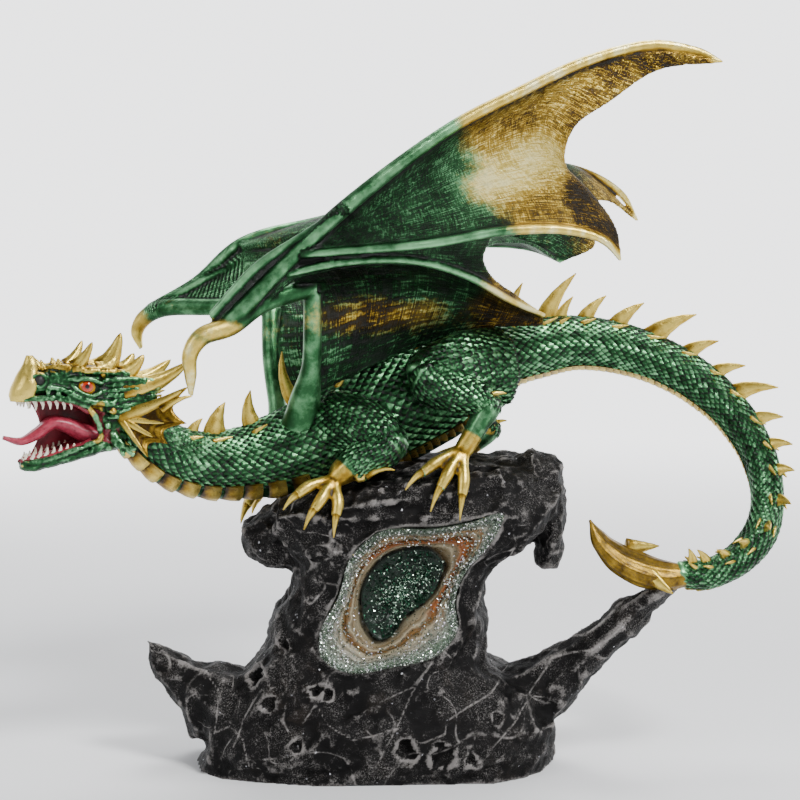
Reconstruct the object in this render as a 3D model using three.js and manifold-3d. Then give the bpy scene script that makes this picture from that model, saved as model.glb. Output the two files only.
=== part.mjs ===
// A winged dragon standing on a rock that holds a glitter geode. Cast resin, millimetres, +Z up.
// +X runs from the head towards the tail loop, -Y is the side that shows the geode.

import * as THREE from 'three';
import { mergeVertices } from 'three/addons/utils/BufferGeometryUtils.js';
import Module from 'manifold-3d';

const wasm = await Module();
wasm.setup();

// ---- driving dimensions -------------------------------------------------------------------------

const SEAT = 0.45;            // how far a seat is cut clear of the piece that sits in it
const FINEST = 0.12;          // slivers that a join leaves below this size are merged away
const SHEET = 2.2;            // thickness of a wing membrane
const ROCK_BOXINESS = 3.0;    // 2 is an ellipse, larger is squarer
const ROCK_ROUGHNESS = 1.6;   // depth of the hewn facets
const HEAD_YAW = 25;          // degrees that the head turns to the front
const BODY_SIDES = 14;
const LIMB_SIDES = 8;
const TOE_SIDES = 6;

// ---- small vector helpers -----------------------------------------------------------------------

const vec = (p) => new THREE.Vector3(p[0], p[1], p[2]);
const clamp01 = (x) => Math.min(1, Math.max(0, x));
const mix = (a, b, t) => a + (b - a) * t;

// A repeatable pseudo-random number from 0 to 1 for a whole-number key.
function hash(key) {
  const s = Math.sin(key * 127.1 + 311.7) * 43758.5453;
  return s - Math.floor(s);
}

function curveOf(points) {
  return new THREE.CatmullRomCurve3(points.map(vec), false, 'centripetal');
}

// Reads a list of values at a place between its entries, t from 0 to 1 along the list.
function along(values, t) {
  const x = clamp01(t) * (values.length - 1);
  const i = Math.min(values.length - 2, Math.floor(x));
  return mix(values[i], values[i + 1], x - i);
}

// ---- closed solids ------------------------------------------------------------------------------

function solidFrom(positions, indices) {
  const geometry = new THREE.BufferGeometry();
  geometry.setAttribute('position', new THREE.Float32BufferAttribute(positions, 3));
  geometry.setIndex(indices);
  const merged = mergeVertices(geometry, 1e-4);
  const points = merged.attributes.position.array;
  const triangles = [];
  for (let i = 0; i < merged.index.count; i += 3) {
    const [a, b, c] = [merged.index.getX(i), merged.index.getX(i + 1), merged.index.getX(i + 2)];
    if (a !== b && b !== c && c !== a) triangles.push(a, b, c);
  }
  let volume = 0;
  const corner = (i) => new THREE.Vector3(points[3 * i], points[3 * i + 1], points[3 * i + 2]);
  for (let i = 0; i < triangles.length; i += 3) {
    volume += corner(triangles[i]).dot(corner(triangles[i + 1]).cross(corner(triangles[i + 2])));
  }
  if (volume < 0) triangles.reverse();
  return new wasm.Manifold(new wasm.Mesh({
    numProp: 3,
    vertProperties: new Float32Array(points),
    triVerts: new Uint32Array(triangles),
  }));
}

// Rings of equal point count become a skin, closed by a fan at each end.
function loft(rings) {
  const count = rings[0].length;
  const positions = [];
  const indices = [];
  for (const ring of rings) {
    for (const p of ring) positions.push(p.x, p.y, p.z);
  }
  for (let r = 0; r + 1 < rings.length; r += 1) {
    for (let i = 0; i < count; i += 1) {
      const j = (i + 1) % count;
      const [a, b, c, d] = [r * count + i, r * count + j, (r + 1) * count + i, (r + 1) * count + j];
      indices.push(a, b, d, a, d, c);
    }
  }
  const middle = (ring) => ring.reduce((sum, p) => sum.add(p), new THREE.Vector3()).divideScalar(count);
  const first = middle(rings[0]);
  const last = middle(rings[rings.length - 1]);
  const firstIndex = rings.length * count;
  const lastStart = (rings.length - 1) * count;
  positions.push(first.x, first.y, first.z, last.x, last.y, last.z);
  for (let i = 0; i < count; i += 1) {
    const j = (i + 1) % count;
    indices.push(firstIndex, j, i);
    indices.push(firstIndex + 1, lastStart + i, lastStart + j);
  }
  return solidFrom(positions, indices);
}

// The frame of a tube at t: middle point, direction, side and the up that the hints ask for.
function frameOn(curve, ups, t) {
  const centre = curve.getPoint(t);
  const forward = curve.getTangent(t);
  const hint = new THREE.Vector3(
    along(ups.map((u) => u[0]), t),
    along(ups.map((u) => u[1]), t),
    along(ups.map((u) => u[2]), t),
  );
  const side = new THREE.Vector3().crossVectors(forward, hint).normalize();
  const up = new THREE.Vector3().crossVectors(side, forward).normalize();
  return { centre, forward, side, up };
}

// A bending tube. Each station is [x, y, z, half width, half height].
function limb(stations, { ups = [[0, 0, 1]], sides = LIMB_SIDES, steps = 2, grow = 0, shape } = {}) {
  const hints = ups.length > 1 ? ups : [ups[0], ups[0]];
  const curve = curveOf(stations);
  const widths = stations.map((s) => s[3]);
  const heights = stations.map((s) => s[4] ?? s[3]);
  const total = (stations.length - 1) * steps;
  const rings = [];
  for (let k = 0; k <= total; k += 1) {
    const t = k / total;
    const { centre, side, up } = frameOn(curve, hints, t);
    const ring = [];
    for (let i = 0; i < sides; i += 1) {
      const angle = (2 * Math.PI * i) / sides;
      const swell = shape ? shape(angle, t) : 1;
      const across = Math.cos(angle) * (along(widths, t) * swell + grow);
      const upward = Math.sin(angle) * (along(heights, t) * swell + grow);
      ring.push(centre.clone().addScaledVector(side, across).addScaledVector(up, upward));
    }
    rings.push(ring);
  }
  return loft(rings);
}

// A curved thorn, claw or horn from base to tip, bowed by `bow` towards `bowDirection`.
function thorn(base, tip, width, { bow = 0, bowDirection = [0, 0, 1], flat = 1, grow = 0, sides = 5 } = {}) {
  const start = vec(base);
  const end = vec(tip);
  const reach = end.clone().sub(start);
  const sag = vec(bowDirection).normalize().multiplyScalar(bow * reach.length());
  const stations = [0, 0.5, 1].map((t) => {
    const p = start.clone().addScaledVector(reach, t).addScaledVector(sag, 4 * t * (1 - t));
    const half = (width / 2) * (1 - t * t * 0.55 - t * 0.35) + (t === 1 ? 0.15 : 0);
    return [p.x, p.y, p.z, Math.max(half * flat, 0.35), Math.max(half, 0.45)];
  });
  return limb(stations, { ups: [bowDirection], sides, steps: 1, grow });
}

// A closed sheet stretched over four edge curves and dished by `dish` along +Y in the middle.
function membrane({ top, bottom, root, end, columns = 12, rows = 6, dish = 0, thick = SHEET, grow = 0 }) {
  const [topCurve, bottomCurve] = [curveOf(top), curveOf(bottom)];
  const [rootCurve, endCurve] = [curveOf(root), curveOf(end)];
  const corners = [vec(top[0]), vec(top[top.length - 1]), vec(bottom[0]), vec(bottom[bottom.length - 1])];
  const place = (u, v) => {
    const p = new THREE.Vector3();
    p.addScaledVector(topCurve.getPoint(u), 1 - v).addScaledVector(bottomCurve.getPoint(u), v);
    p.addScaledVector(rootCurve.getPoint(v), 1 - u).addScaledVector(endCurve.getPoint(v), u);
    p.addScaledVector(corners[0], -(1 - u) * (1 - v)).addScaledVector(corners[1], -u * (1 - v));
    p.addScaledVector(corners[2], -(1 - u) * v).addScaledVector(corners[3], -u * v);
    p.y += dish * Math.sin(Math.PI * v) * Math.sin(Math.PI * mix(0.15, 0.8, u));
    return p;
  };
  const positions = [];
  const half = thick / 2 + grow;
  for (const face of [-1, 1]) {
    for (let i = 0; i <= columns; i += 1) {
      for (let j = 0; j <= rows; j += 1) {
        const p = place(i / columns, j / rows);
        positions.push(p.x, p.y + face * half, p.z);
      }
    }
  }
  const sheetSize = (columns + 1) * (rows + 1);
  const at = (face, i, j) => face * sheetSize + i * (rows + 1) + j;
  const indices = [];
  for (let i = 0; i < columns; i += 1) {
    for (let j = 0; j < rows; j += 1) {
      indices.push(at(0, i, j), at(0, i + 1, j), at(0, i + 1, j + 1));
      indices.push(at(0, i, j), at(0, i + 1, j + 1), at(0, i, j + 1));
      indices.push(at(1, i, j), at(1, i + 1, j + 1), at(1, i + 1, j));
      indices.push(at(1, i, j), at(1, i, j + 1), at(1, i + 1, j + 1));
    }
  }
  const rim = [];
  for (let i = 0; i < columns; i += 1) rim.push([i, 0]);
  for (let j = 0; j < rows; j += 1) rim.push([columns, j]);
  for (let i = columns; i > 0; i -= 1) rim.push([i, rows]);
  for (let j = rows; j > 0; j -= 1) rim.push([0, j]);
  rim.forEach(([i, j], k) => {
    const [m, n] = rim[(k + 1) % rim.length];
    indices.push(at(0, i, j), at(1, i, j), at(1, m, n));
    indices.push(at(0, i, j), at(1, m, n), at(0, m, n));
  });
  return solidFrom(positions, indices);
}

function join(solids) {
  return solids.reduce((whole, solid) => whole.add(solid));
}

// ---- rock plinth --------------------------------------------------------------------------------

// Height, left, right, front, back of the rock's main mass.
const ROCK_LEVELS = [
  [0, -88, 89, -52, 44],
  [10, -87, 91, -53, 45],
  [24, -82, 91, -50, 44],
  [38, -72, 80, -46, 42],
  [52, -61, 57, -43, 40],
  [66, -54, 57, -42, 38],
  [80, -49, 56, -42, 36],
  [94, -42, 58, -42, 35],
  [103, -42, 63, -43, 36],
  [110, -46, 78, -44, 36],
  [118, -52, 86, -45, 38],
  [128, -56, 91, -45, 40],
  [137, -46, 94, -40, 40],
  [145, -18, 94, -33, 38],
  [152, 8, 92, -22, 32],
];

function rockLevelAt(z) {
  const above = ROCK_LEVELS.findIndex((level) => level[0] >= z);
  const i = Math.max(1, above === -1 ? ROCK_LEVELS.length - 1 : above);
  const t = clamp01((z - ROCK_LEVELS[i - 1][0]) / (ROCK_LEVELS[i][0] - ROCK_LEVELS[i - 1][0]));
  return [1, 2, 3, 4].map((n) => mix(ROCK_LEVELS[i - 1][n], ROCK_LEVELS[i][n], t));
}

// How far forward the rock's face stands at a place beside and above the middle.
function rockFrontAt(x, z) {
  const [left, right, front, back] = rockLevelAt(z);
  const u = clamp01(Math.abs(x - (left + right) / 2) / ((right - left) / 2));
  const depth = (back - front) / 2;
  return (front + back) / 2 - depth * (1 - u ** ROCK_BOXINESS) ** (1 / ROCK_BOXINESS);
}

function rockMass() {
  const sides = 18;
  const rings = ROCK_LEVELS.map(([z, left, right, front, back], level) => {
    const ring = [];
    for (let i = 0; i < sides; i += 1) {
      const angle = (2 * Math.PI * (i + 0.5 * (level % 2))) / sides;
      const power = 2 / ROCK_BOXINESS;
      const across = Math.sign(Math.cos(angle)) * Math.abs(Math.cos(angle)) ** power;
      const deep = Math.sign(Math.sin(angle)) * Math.abs(Math.sin(angle)) ** power;
      const hew = 1 + ((hash(level * 31 + i) - 0.5) * 2 * ROCK_ROUGHNESS) / ((back - front) / 2);
      const x = (left + right) / 2 + (across * hew * (right - left)) / 2;
      const y = (front + back) / 2 + (deep * hew * (back - front)) / 2;
      ring.push(new THREE.Vector3(x, y, z));
    }
    return ring;
  });
  return loft(rings);
}

function hewn(seed) {
  return (angle, t) => 1 + (hash(seed + Math.round(angle * 9) * 7 + Math.round(t * 90)) - 0.5) * 0.22;
}

function rockBase() {
  const foot = limb([
    [-62, 0, 24, 34, 22],
    [-83, -2, 31, 27, 20],
    [-98, -4, 42, 15, 12],
    [-108, -6, 52, 7, 7],
    [-115, -6, 62, 1, 1],
  ], { steps: 1, shape: hewn(3) });
  const arm = limb([
    [62, 0, 24, 34, 24],
    [84, -7, 36, 20, 17],
    [104, -12, 54, 14, 11],
    [124, -17, 74, 11, 9],
    [142, -21, 90, 9, 7],
    [147, -22, 94, 5, 4],
  ], { steps: 1, shape: hewn(11) });
  const leftLobe = limb([
    [-36, 0, 120, 26, 14],
    [-50, 0, 113, 24, 18],
    [-60, 0, 108, 17, 16],
    [-65, 0, 104, 6, 6],
  ], { steps: 1, shape: hewn(23) });
  const rightLobe = limb([
    [66, 0, 140, 26, 10],
    [79, 0, 148, 24, 10],
    [86, 0, 144, 20, 11],
    [88, 0, 126, 17, 9],
    [88, 0, 111, 13, 7.5],
    [87, 0, 98, 7, 5],
  ], { ups: [[0, 0, 1], [0.4, 0, 1], [1, 0, 0.4], [1, 0, 0]], steps: 1, shape: hewn(41) });
  const ledge = limb([
    [-46, -22, 127, 14, 9],
    [-10, -30, 133, 13, 10],
    [30, -32, 139, 12, 10],
    [62, -26, 143, 10, 8],
  ], { steps: 1, shape: hewn(57) });
  const whole = join([rockMass(), foot, arm, leftLobe, rightLobe, ledge]);
  const floor = loft([[-200, -200], [200, -200], [200, 200], [-200, 200]].reduce((rings, [x, y]) => {
    rings[0].push(new THREE.Vector3(x, y, -80));
    rings[1].push(new THREE.Vector3(x, y, 0));
    return rings;
  }, [[], []]));
  return whole.subtract(floor);
}

// ---- geode --------------------------------------------------------------------------------------

// Outline of the poured filling and of the dark hollow in it: [x, z], from the upper right round.
const GEODE_EDGE = [
  [62, 130], [45, 126], [27, 123], [4, 122], [-11, 109], [-17, 90], [-26, 72],
  [-25, 60], [-12, 53], [10, 56], [30, 61], [40, 72], [39, 88], [45, 103], [56, 116],
];
const GEODE_HOLLOW = [
  [33, 107], [28, 112], [18, 113], [8, 110], [0, 103], [-6, 92], [-6, 82],
  [-4, 74], [2, 67], [9, 70], [14, 78], [20, 83], [28, 89], [32, 97], [34, 103],
];
const GEODE_DEPTH = 16;
// How far each band stands in front of the rock's face (+) or behind it (-), hollow to rim.
const GEODE_BANDS = [-10, -4.5, -3, -3.4, -1.6, -0.6, -0.9, 0.8, 0.4];

function closedOutline(points, count) {
  const curve = new THREE.CatmullRomCurve3(points.map(([x, z]) => new THREE.Vector3(x, 0, z)), true);
  return Array.from({ length: count }, (_, i) => curve.getPoint(i / count));
}

function geodeSolid({ grow = 0, frontLift = 0 } = {}) {
  const count = 24;
  const outer = closedOutline(GEODE_EDGE, count);
  const inner = closedOutline(GEODE_HOLLOW, count);
  const middle = inner.reduce((sum, p) => sum.add(p), new THREE.Vector3()).divideScalar(count);
  const widen = (p) => {
    const out = p.clone().sub(middle);
    return p.clone().addScaledVector(out.normalize(), grow);
  };
  const back = -42 + GEODE_DEPTH + grow;
  const rings = [outer.map((p) => widen(p).setY(back))];
  const bands = GEODE_BANDS.length - 1;
  for (let b = bands; b >= 0; b -= 1) {
    rings.push(outer.map((p, i) => {
      const q = inner[i].clone().lerp(b === bands ? widen(p) : p, (b / bands) ** 0.9);
      if (b === 0) q.lerp(middle, 0.35);
      q.y = rockFrontAt(q.x, q.z) - GEODE_BANDS[b] - frontLift;
      return q;
    }));
    if (frontLift) break;
  }
  return loft(rings);
}

// ---- dragon trunk and tail ----------------------------------------------------------------------

// The spine from the nape to the tail tip: [x, y, z, half width, half height].
const SPINE = [
  [-118, -46, 177, 11, 11.5],
  [-108, -41, 166, 12, 12.5],
  [-97, -35, 157, 13, 14],
  [-82, -28, 152, 14, 15],
  [-65, -20, 152, 15.5, 16.5],
  [-44, -13, 156, 18, 20],
  [-22, -8, 164, 20, 23.5],
  [3, -2, 175.5, 21, 28],
  [28, 4, 187, 20, 26.5],
  [54, 10, 201, 18, 19],
  [78, 15, 206, 14.5, 15],
  [102, 19, 209, 12.5, 13],
  [125, 21, 206, 11.8, 12.2],
  [146, 20, 199, 11, 11.5],
  [165, 17, 188, 10.2, 10.8],
  [181, 12, 173, 9.2, 9.5],
  [192, 5, 155, 8.4, 8.6],
  [196, -4, 136, 8, 8],
  [192, -12, 118, 7.8, 7.8],
  [179, -18, 104, 7.6, 7.7],
  [162, -21, 97, 7.2, 7.3],
  [148, -23, 98, 6, 6],
];
// Where the back of the dragon points at each spine station: up, then outward, forward, and up again.
const SPINE_UP = [
  [0, -0.2, 1], [0.2, -0.1, 1], [0.2, 0, 1], [0.1, 0, 1], [0, 0, 1], [-0.2, 0, 1], [-0.4, 0, 1],
  [-0.4, 0, 1], [-0.4, 0, 1], [-0.2, 0, 1], [0, 0, 1], [0.1, 0, 1], [0.3, 0, 1], [0.5, 0, 1],
  [0.8, -0.1, 0.8], [1, -0.3, 0.5], [1, -0.6, 0.2], [0.7, -1, 0], [0.1, -1, 0.3], [-0.4, -0.8, 0.7],
  [-0.1, -0.4, 1], [0, -0.1, 1],
];
// Thorns along the back: [place on the spine in stations, height, base length, lean to the tail].
const BACK_THORNS = [
  [2.3, 8, 8, 0.3], [3.2, 16, 14, 0.25], [4.4, 17, 11, 0.1], [5.6, 26, 9, 0.1], [6.5, 16, 10, 0.2],
  [7.3, 14, 10, 0.25], [8.1, 14, 10, 0.3], [9.0, 15, 9, 0.35], [9.7, 18, 9, 0.5], [10.4, 20, 12, 1.0],
  [10.7, 10, 8, 0.8], [11.15, 12, 10, 0.9], [11.8, 13, 11, 0.9], [12.6, 17, 13, 1.0], [13.4, 12, 10, 0.9],
  [14.1, 11, 9, 0.9], [14.7, 16, 11, 0.8], [15.4, 11, 9, 0.6], [16.0, 10, 8, 0.5], [16.6, 9, 8, 0.4],
  [17.3, 9, 8, 0.4], [18.0, 9, 8, 0.4], [18.7, 9, 8, 0.4], [19.3, 8, 7, 0.5], [19.9, 8, 7, 0.5],
  [20.5, 7, 7, 0.5],
];
const SPINE_LAST = SPINE.length - 1;
const BELLY_FIRST = 0.6;       // scutes start at the throat, in spine stations
const BELLY_LAST = 5.6;
const BELLY_PITCH = 0.5;

function spineFrame(station) {
  return frameOn(curveOf(SPINE), SPINE_UP, station / SPINE_LAST);
}

function trunk(grow) {
  const keeled = (angle) => 1 + 0.05 * Math.cos(4 * angle);
  return limb(SPINE, { ups: SPINE_UP, sides: BODY_SIDES, steps: 2, grow, shape: keeled });
}

function backThorn([station, height, length, lean]) {
  const { centre, forward, up } = spineFrame(station);
  const half = along(SPINE.map((s) => s[4]), station / SPINE_LAST);
  const base = centre.clone().addScaledVector(up, half - 2);
  const tip = base.clone().addScaledVector(up, height + 2).addScaledVector(forward, height * lean);
  const bow = forward.clone().negate();
  return thorn(base.toArray(), tip.toArray(), length, { bow: 0.1, bowDirection: bow.toArray(), flat: 0.45 });
}

// One overlapping plate under the throat or chest.
function bellyScute(station, grow) {
  const { centre, forward, side, up } = spineFrame(station);
  const t = station / SPINE_LAST;
  const wide = along(SPINE.map((s) => s[3]), t);
  const high = along(SPINE.map((s) => s[4]), t);
  const ringAt = (shift, lift) => [-0.85, 0, 0.85].map((a) => {
    const p = centre.clone().addScaledVector(forward, shift);
    return p.addScaledVector(side, Math.sin(a) * (wide + lift)).addScaledVector(up, -Math.cos(a) * (high + lift));
  });
  const slab = (shift, lift) => [...ringAt(shift, lift), ...ringAt(shift, -3).reverse()];
  return loft([slab(-4.2 - grow, 0.6 + grow), slab(-3.2, 2.4 + grow), slab(4.6 + grow, 0.7 + grow)]);
}

function bellyScutes(grow) {
  const plates = [];
  for (let s = BELLY_FIRST; s < BELLY_LAST; s += BELLY_PITCH) plates.push(bellyScute(s, grow));
  return plates;
}

function tailBlade(grow) {
  const leaf = limb([
    [154, -23, 97, 5.5, 5.5],
    [143, -23, 97, 8, 6.5],
    [131, -24, 100, 10, 6.5],
    [119, -25, 106, 9, 5.5],
    [110, -26, 115, 6, 3.6],
    [105, -27, 125, 0.6, 0.6],
  ], { ups: [[0.3, -0.5, 0.8]], sides: 8, steps: 1, grow });
  const nearBarb = thorn([132, -28, 99], [145, -34, 90], 10, { flat: 0.5, grow });
  const farBarb = thorn([124, -18, 110], [141, -13, 110], 9, { flat: 0.5, grow });
  return [leaf, nearBarb, farBarb];
}

// ---- head ---------------------------------------------------------------------------------------

const HEAD_ORIGIN = new THREE.Vector3(-119, -45, 178);
const yaw = THREE.MathUtils.degToRad(HEAD_YAW);
const HEAD_FORWARD = new THREE.Vector3(-Math.cos(yaw), -Math.sin(yaw), 0);
const HEAD_NEAR = new THREE.Vector3(Math.sin(yaw), -Math.cos(yaw), 0);

// Turns [forward, towards the near cheek, up] in the head's own frame into a place on the part.
function inHead([forward, near, up]) {
  return HEAD_ORIGIN.clone()
    .addScaledVector(HEAD_FORWARD, forward)
    .addScaledVector(HEAD_NEAR, near)
    .add(new THREE.Vector3(0, 0, up))
    .toArray();
}

// A lofted part of the head: stations are [forward, up, half width, half height].
function headLoft(stations, options) {
  return limb(stations.map(([f, u, w, h]) => [...inHead([f, 0, u]), w, h]), options);
}

function skull() {
  const boxy = (angle) => 1 + 0.06 * Math.cos(4 * angle + Math.PI);
  return headLoft([
    [-6, 6, 10, 11],
    [3, 9, 13, 14],
    [13, 12, 14, 14],
    [24, 15, 13, 11],
    [34, 16, 10.5, 9.5],
    [43, 16, 9, 8.5],
    [49, 14, 7.5, 6.8],
    [53, 11, 4.5, 3.4],
  ], { sides: 12, steps: 1, shape: boxy });
}

function lowerJaw() {
  return headLoft([
    [-6, 0, 9, 11],
    [4, -7, 10.5, 8.5],
    [14, -12.5, 11, 5],
    [25, -15.5, 10, 4],
    [36, -18.5, 8, 3.4],
    [44, -20.5, 6, 3.4],
    [50, -20.5, 3.4, 2.8],
  ], { sides: 8, steps: 1 });
}

function jawHinge() {
  return headLoft([[-4, -2, 9, 14], [6, -1, 11, 13], [12, -1, 11.5, 11]], { sides: 10, steps: 1 });
}

function tongue() {
  return headLoft([
    [8, -10, 5.5, 3],
    [20, -6, 5.5, 2.6],
    [28, -0.5, 5, 2.4],
    [35, 0, 4.6, 2.2],
    [42, -6, 4.2, 2],
    [50, -9.5, 3, 1.6],
    [57, -7.5, 1, 0.8],
  ], { sides: 8, steps: 2 });
}

// Horns and brow spikes: [base, tip, width] in the head's frame; `both` repeats it on the far side.
const HORNS = [
  { base: [43, 0, 20], tip: [44, 0, 29], width: 8, both: false },
  { base: [35, 4, 23], tip: [37, 5, 27], width: 5, both: true },
  { base: [28, 5, 24], tip: [30, 6, 28], width: 5, both: true },
  { base: [22, 8, 22], tip: [17, 11, 36], width: 8, both: true },
  { base: [10, 2, 22], tip: [1, 2, 39], width: 9, both: false },
  { base: [12, 9, 21], tip: [6, 11, 28], width: 8, both: true },
  { base: [1, 5, 19], tip: [-8, 8, 29], width: 9, both: true },
  { base: [4, 10, 14], tip: [-28, 13, 25], width: 12, both: true },
];

function horns() {
  const solids = [];
  for (const { base, tip, width, both } of HORNS) {
    for (const cheek of both ? [-1, 1] : [1]) {
      const flip = ([f, n, u]) => inHead([f, n * cheek, u]);
      solids.push(thorn(flip(base), flip(tip), width, { bow: 0.08, bowDirection: [0.3, 0, -1], flat: 0.7 }));
    }
  }
  return solids;
}

// The webbed collar behind the cheek: rib tips [forward, near, up] from the top rib down.
const FRILL_ROOT = [4, 11, 0];
const FRILL_TIPS = [[-25, 21, 14], [-23, 24, -2], [-14, 25, -11], [-4, 24, -18]];

function frill() {
  const edge = [];
  FRILL_TIPS.forEach((tip, i) => {
    edge.push({ at: tip, half: 1.1 });
    const next = FRILL_TIPS[i + 1];
    if (!next) return;
    const dip = tip.map((value, n) => mix(mix(value, next[n], 0.5), FRILL_ROOT[n], 0.24));
    edge.push({ at: dip, half: 0.8 });
  });
  const top = FRILL_ROOT.map((v, n) => v + [-4, 1, 5][n]);
  const low = FRILL_ROOT.map((v, n) => v + [-3, 1, -9][n]);
  return [-1, 1].map((cheek) => {
    const face = (lift) => {
      const shift = (p, by) => inHead([p[0], (p[1] + lift * by) * cheek, p[2]]);
      return [shift(low, 2), shift(top, 2), ...edge.map(({ at, half }) => shift(at, half))].map(vec);
    };
    const outer = face(1);
    const inner = face(-1);
    const middle = edge.map(({ at, half }, i) => {
      const rib = i % 2 === 0 ? 2.4 : half;
      const p = at.map((v, n) => mix(v, FRILL_ROOT[n], 0.5));
      return [p, rib];
    });
    return fan(outer, inner, middle.map(([p, rib]) => [1, -1].map((lift) => (
      vec(inHead([p[0], (p[1] + lift * rib) * cheek, p[2]]))))));
  });
}

// A fan: two root corners, then an edge; `middle` holds a raised [outer, inner] point on each ray.
function fan(outer, inner, middle) {
  const positions = [];
  const indices = [];
  const add = (p) => positions.push(p.x, p.y, p.z) / 3 - 1;
  const rays = middle.length;
  const faces = [outer, inner].map((corners, f) => ({
    root: corners.slice(0, 2).map(add),
    rim: corners.slice(2).map(add),
    mid: middle.map((pair) => add(pair[f])),
  }));
  faces.forEach(({ root, rim, mid }, f) => {
    const put = (a, b, c) => (f === 0 ? indices.push(a, b, c) : indices.push(a, c, b));
    for (let i = 0; i + 1 < rays; i += 1) {
      put(mid[i], rim[i], rim[i + 1]);
      put(mid[i], rim[i + 1], mid[i + 1]);
      put(root[i < rays / 2 ? 1 : 0], mid[i], mid[i + 1]);
    }
    put(root[0], root[1], mid[Math.ceil(rays / 2)]);
  });
  const border = ({ root, rim, mid }) => [root[0], root[1], mid[0], ...rim, mid[rays - 1]];
  const [front, back] = faces.map(border);
  front.forEach((a, i) => {
    const j = (i + 1) % front.length;
    indices.push(a, back[j], front[j], a, back[i], back[j]);
  });
  return solidFrom(positions, indices);
}

function eyeSockets() {
  return [-1, 1].map((cheek) => {
    const from = inHead([17, cheek * 9, 14.5]);
    const to = inHead([17.5, cheek * 15, 15]);
    return limb([[...from, 4.5, 4.5], [...to, 3.2, 3.2]], { sides: 8, steps: 1 });
  });
}

function head() {
  return [skull(), lowerJaw(), jawHinge(), tongue(), ...eyeSockets(), ...horns(), ...frill()];
}

// ---- legs ---------------------------------------------------------------------------------------

// Each leg: stations down to the foot, then toes as [knuckle, claw tip], and the back claw.
const LEGS = [
  { // near foreleg
    leg: [[-20, -16, 170, 15, 17], [-6, -27, 170, 12, 14], [6, -33, 163, 10.5, 11], [-5, -35, 157, 9, 9],
      [-15, -36, 150, 6.5, 6.5], [-19, -38, 146, 5, 4.5]],
    toes: [[[-32, -44, 143], [-43, -49, 133]], [[-25, -47, 138], [-33, -52, 124]], [[-17, -46, 136], [-19, -51, 120]]],
    heel: [[-4, -38, 148], [10, -40, 151]],
  },
  { // near hind leg
    leg: [[62, -4, 198, 15, 19], [46, -16, 199, 13, 17], [26, -25, 194, 10, 12], [38, -28, 188, 9, 9.5],
      [55, -29, 183, 6.5, 7], [50, -31, 172, 5.2, 5.2], [43, -34, 160, 4.8, 4.8]],
    toes: [[[29, -40, 154], [15, -45, 142]], [[35, -43, 149], [27, -48, 132]], [[43, -43, 146], [41, -48, 128]]],
    heel: [[53, -29, 184], [64, -28, 187]],
  },
  { // far foreleg
    leg: [[-30, 6, 162, 13, 15], [-36, 18, 156, 10, 11], [-34, 28, 148, 8, 8], [-46, 29, 142, 6, 6],
      [-54, 27, 137, 4.8, 4.8]],
    toes: [[[-63, 20, 131], [-69, 16, 117]], [[-64, 28, 131], [-70, 27, 117]], [[-60, 35, 131], [-65, 38, 119]]],
    heel: [[-46, 30, 138], [-38, 33, 140]],
  },
  { // far hind leg
    leg: [[60, 18, 194, 15, 17], [46, 30, 188, 12, 14], [32, 36, 178, 9, 10], [46, 37, 170, 7, 7.5],
      [60, 35, 165, 5, 5.5], [52, 33, 157, 4.8, 4.8], [44, 32, 153, 4.8, 4.5]],
    toes: [[[31, 28, 149], [20, 25, 143]], [[33, 35, 149], [22, 36, 142]], [[38, 41, 148], [30, 46, 139]]],
    heel: [[58, 34, 164], [68, 36, 168]],
  },
];

// A toe runs from the ankle over its knuckle and ends in a claw.
function toe(ankle, knuckle, claw, grow) {
  const bend = vec(knuckle).lerp(vec(claw), 0.45).add(new THREE.Vector3(0, -0.8, 1.2)).toArray();
  const stations = [[...ankle, 3.6, 3.4], [...knuckle, 2.9, 2.8], [...bend, 2.1, 2.2], [...claw, 0.5, 0.5]];
  return limb(stations, { sides: TOE_SIDES, steps: 1, grow });
}

function legParts({ leg, toes, heel }, grow) {
  const ankle = leg[leg.length - 1].slice(0, 3);
  const solids = [limb(leg, { ups: [[-0.6, 0, 1]], steps: 1, grow })];
  solids.push(...toes.map(([knuckle, claw]) => toe(ankle, knuckle, claw, grow)));
  const inside = vec(heel[0]).lerp(vec(ankle), 0.3).toArray();
  solids.push(limb([[...inside, 3, 3], [...heel[0], 2.6, 2.8], [...heel[1], 0.5, 0.5]], { sides: 5, steps: 1, grow }));
  return solids;
}

// Everything that stands on or lies against the rock, grown when it cuts its own seat.
function lowerDragon(grow) {
  const legs = LEGS.flatMap((leg) => legParts(leg, grow));
  return join([trunk(grow), ...bellyScutes(grow), ...tailBlade(grow), ...legs]);
}

function dragonBody() {
  return join([lowerDragon(0), ...head(), ...BACK_THORNS.map(backThorn)]);
}

// ---- wings --------------------------------------------------------------------------------------

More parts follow.
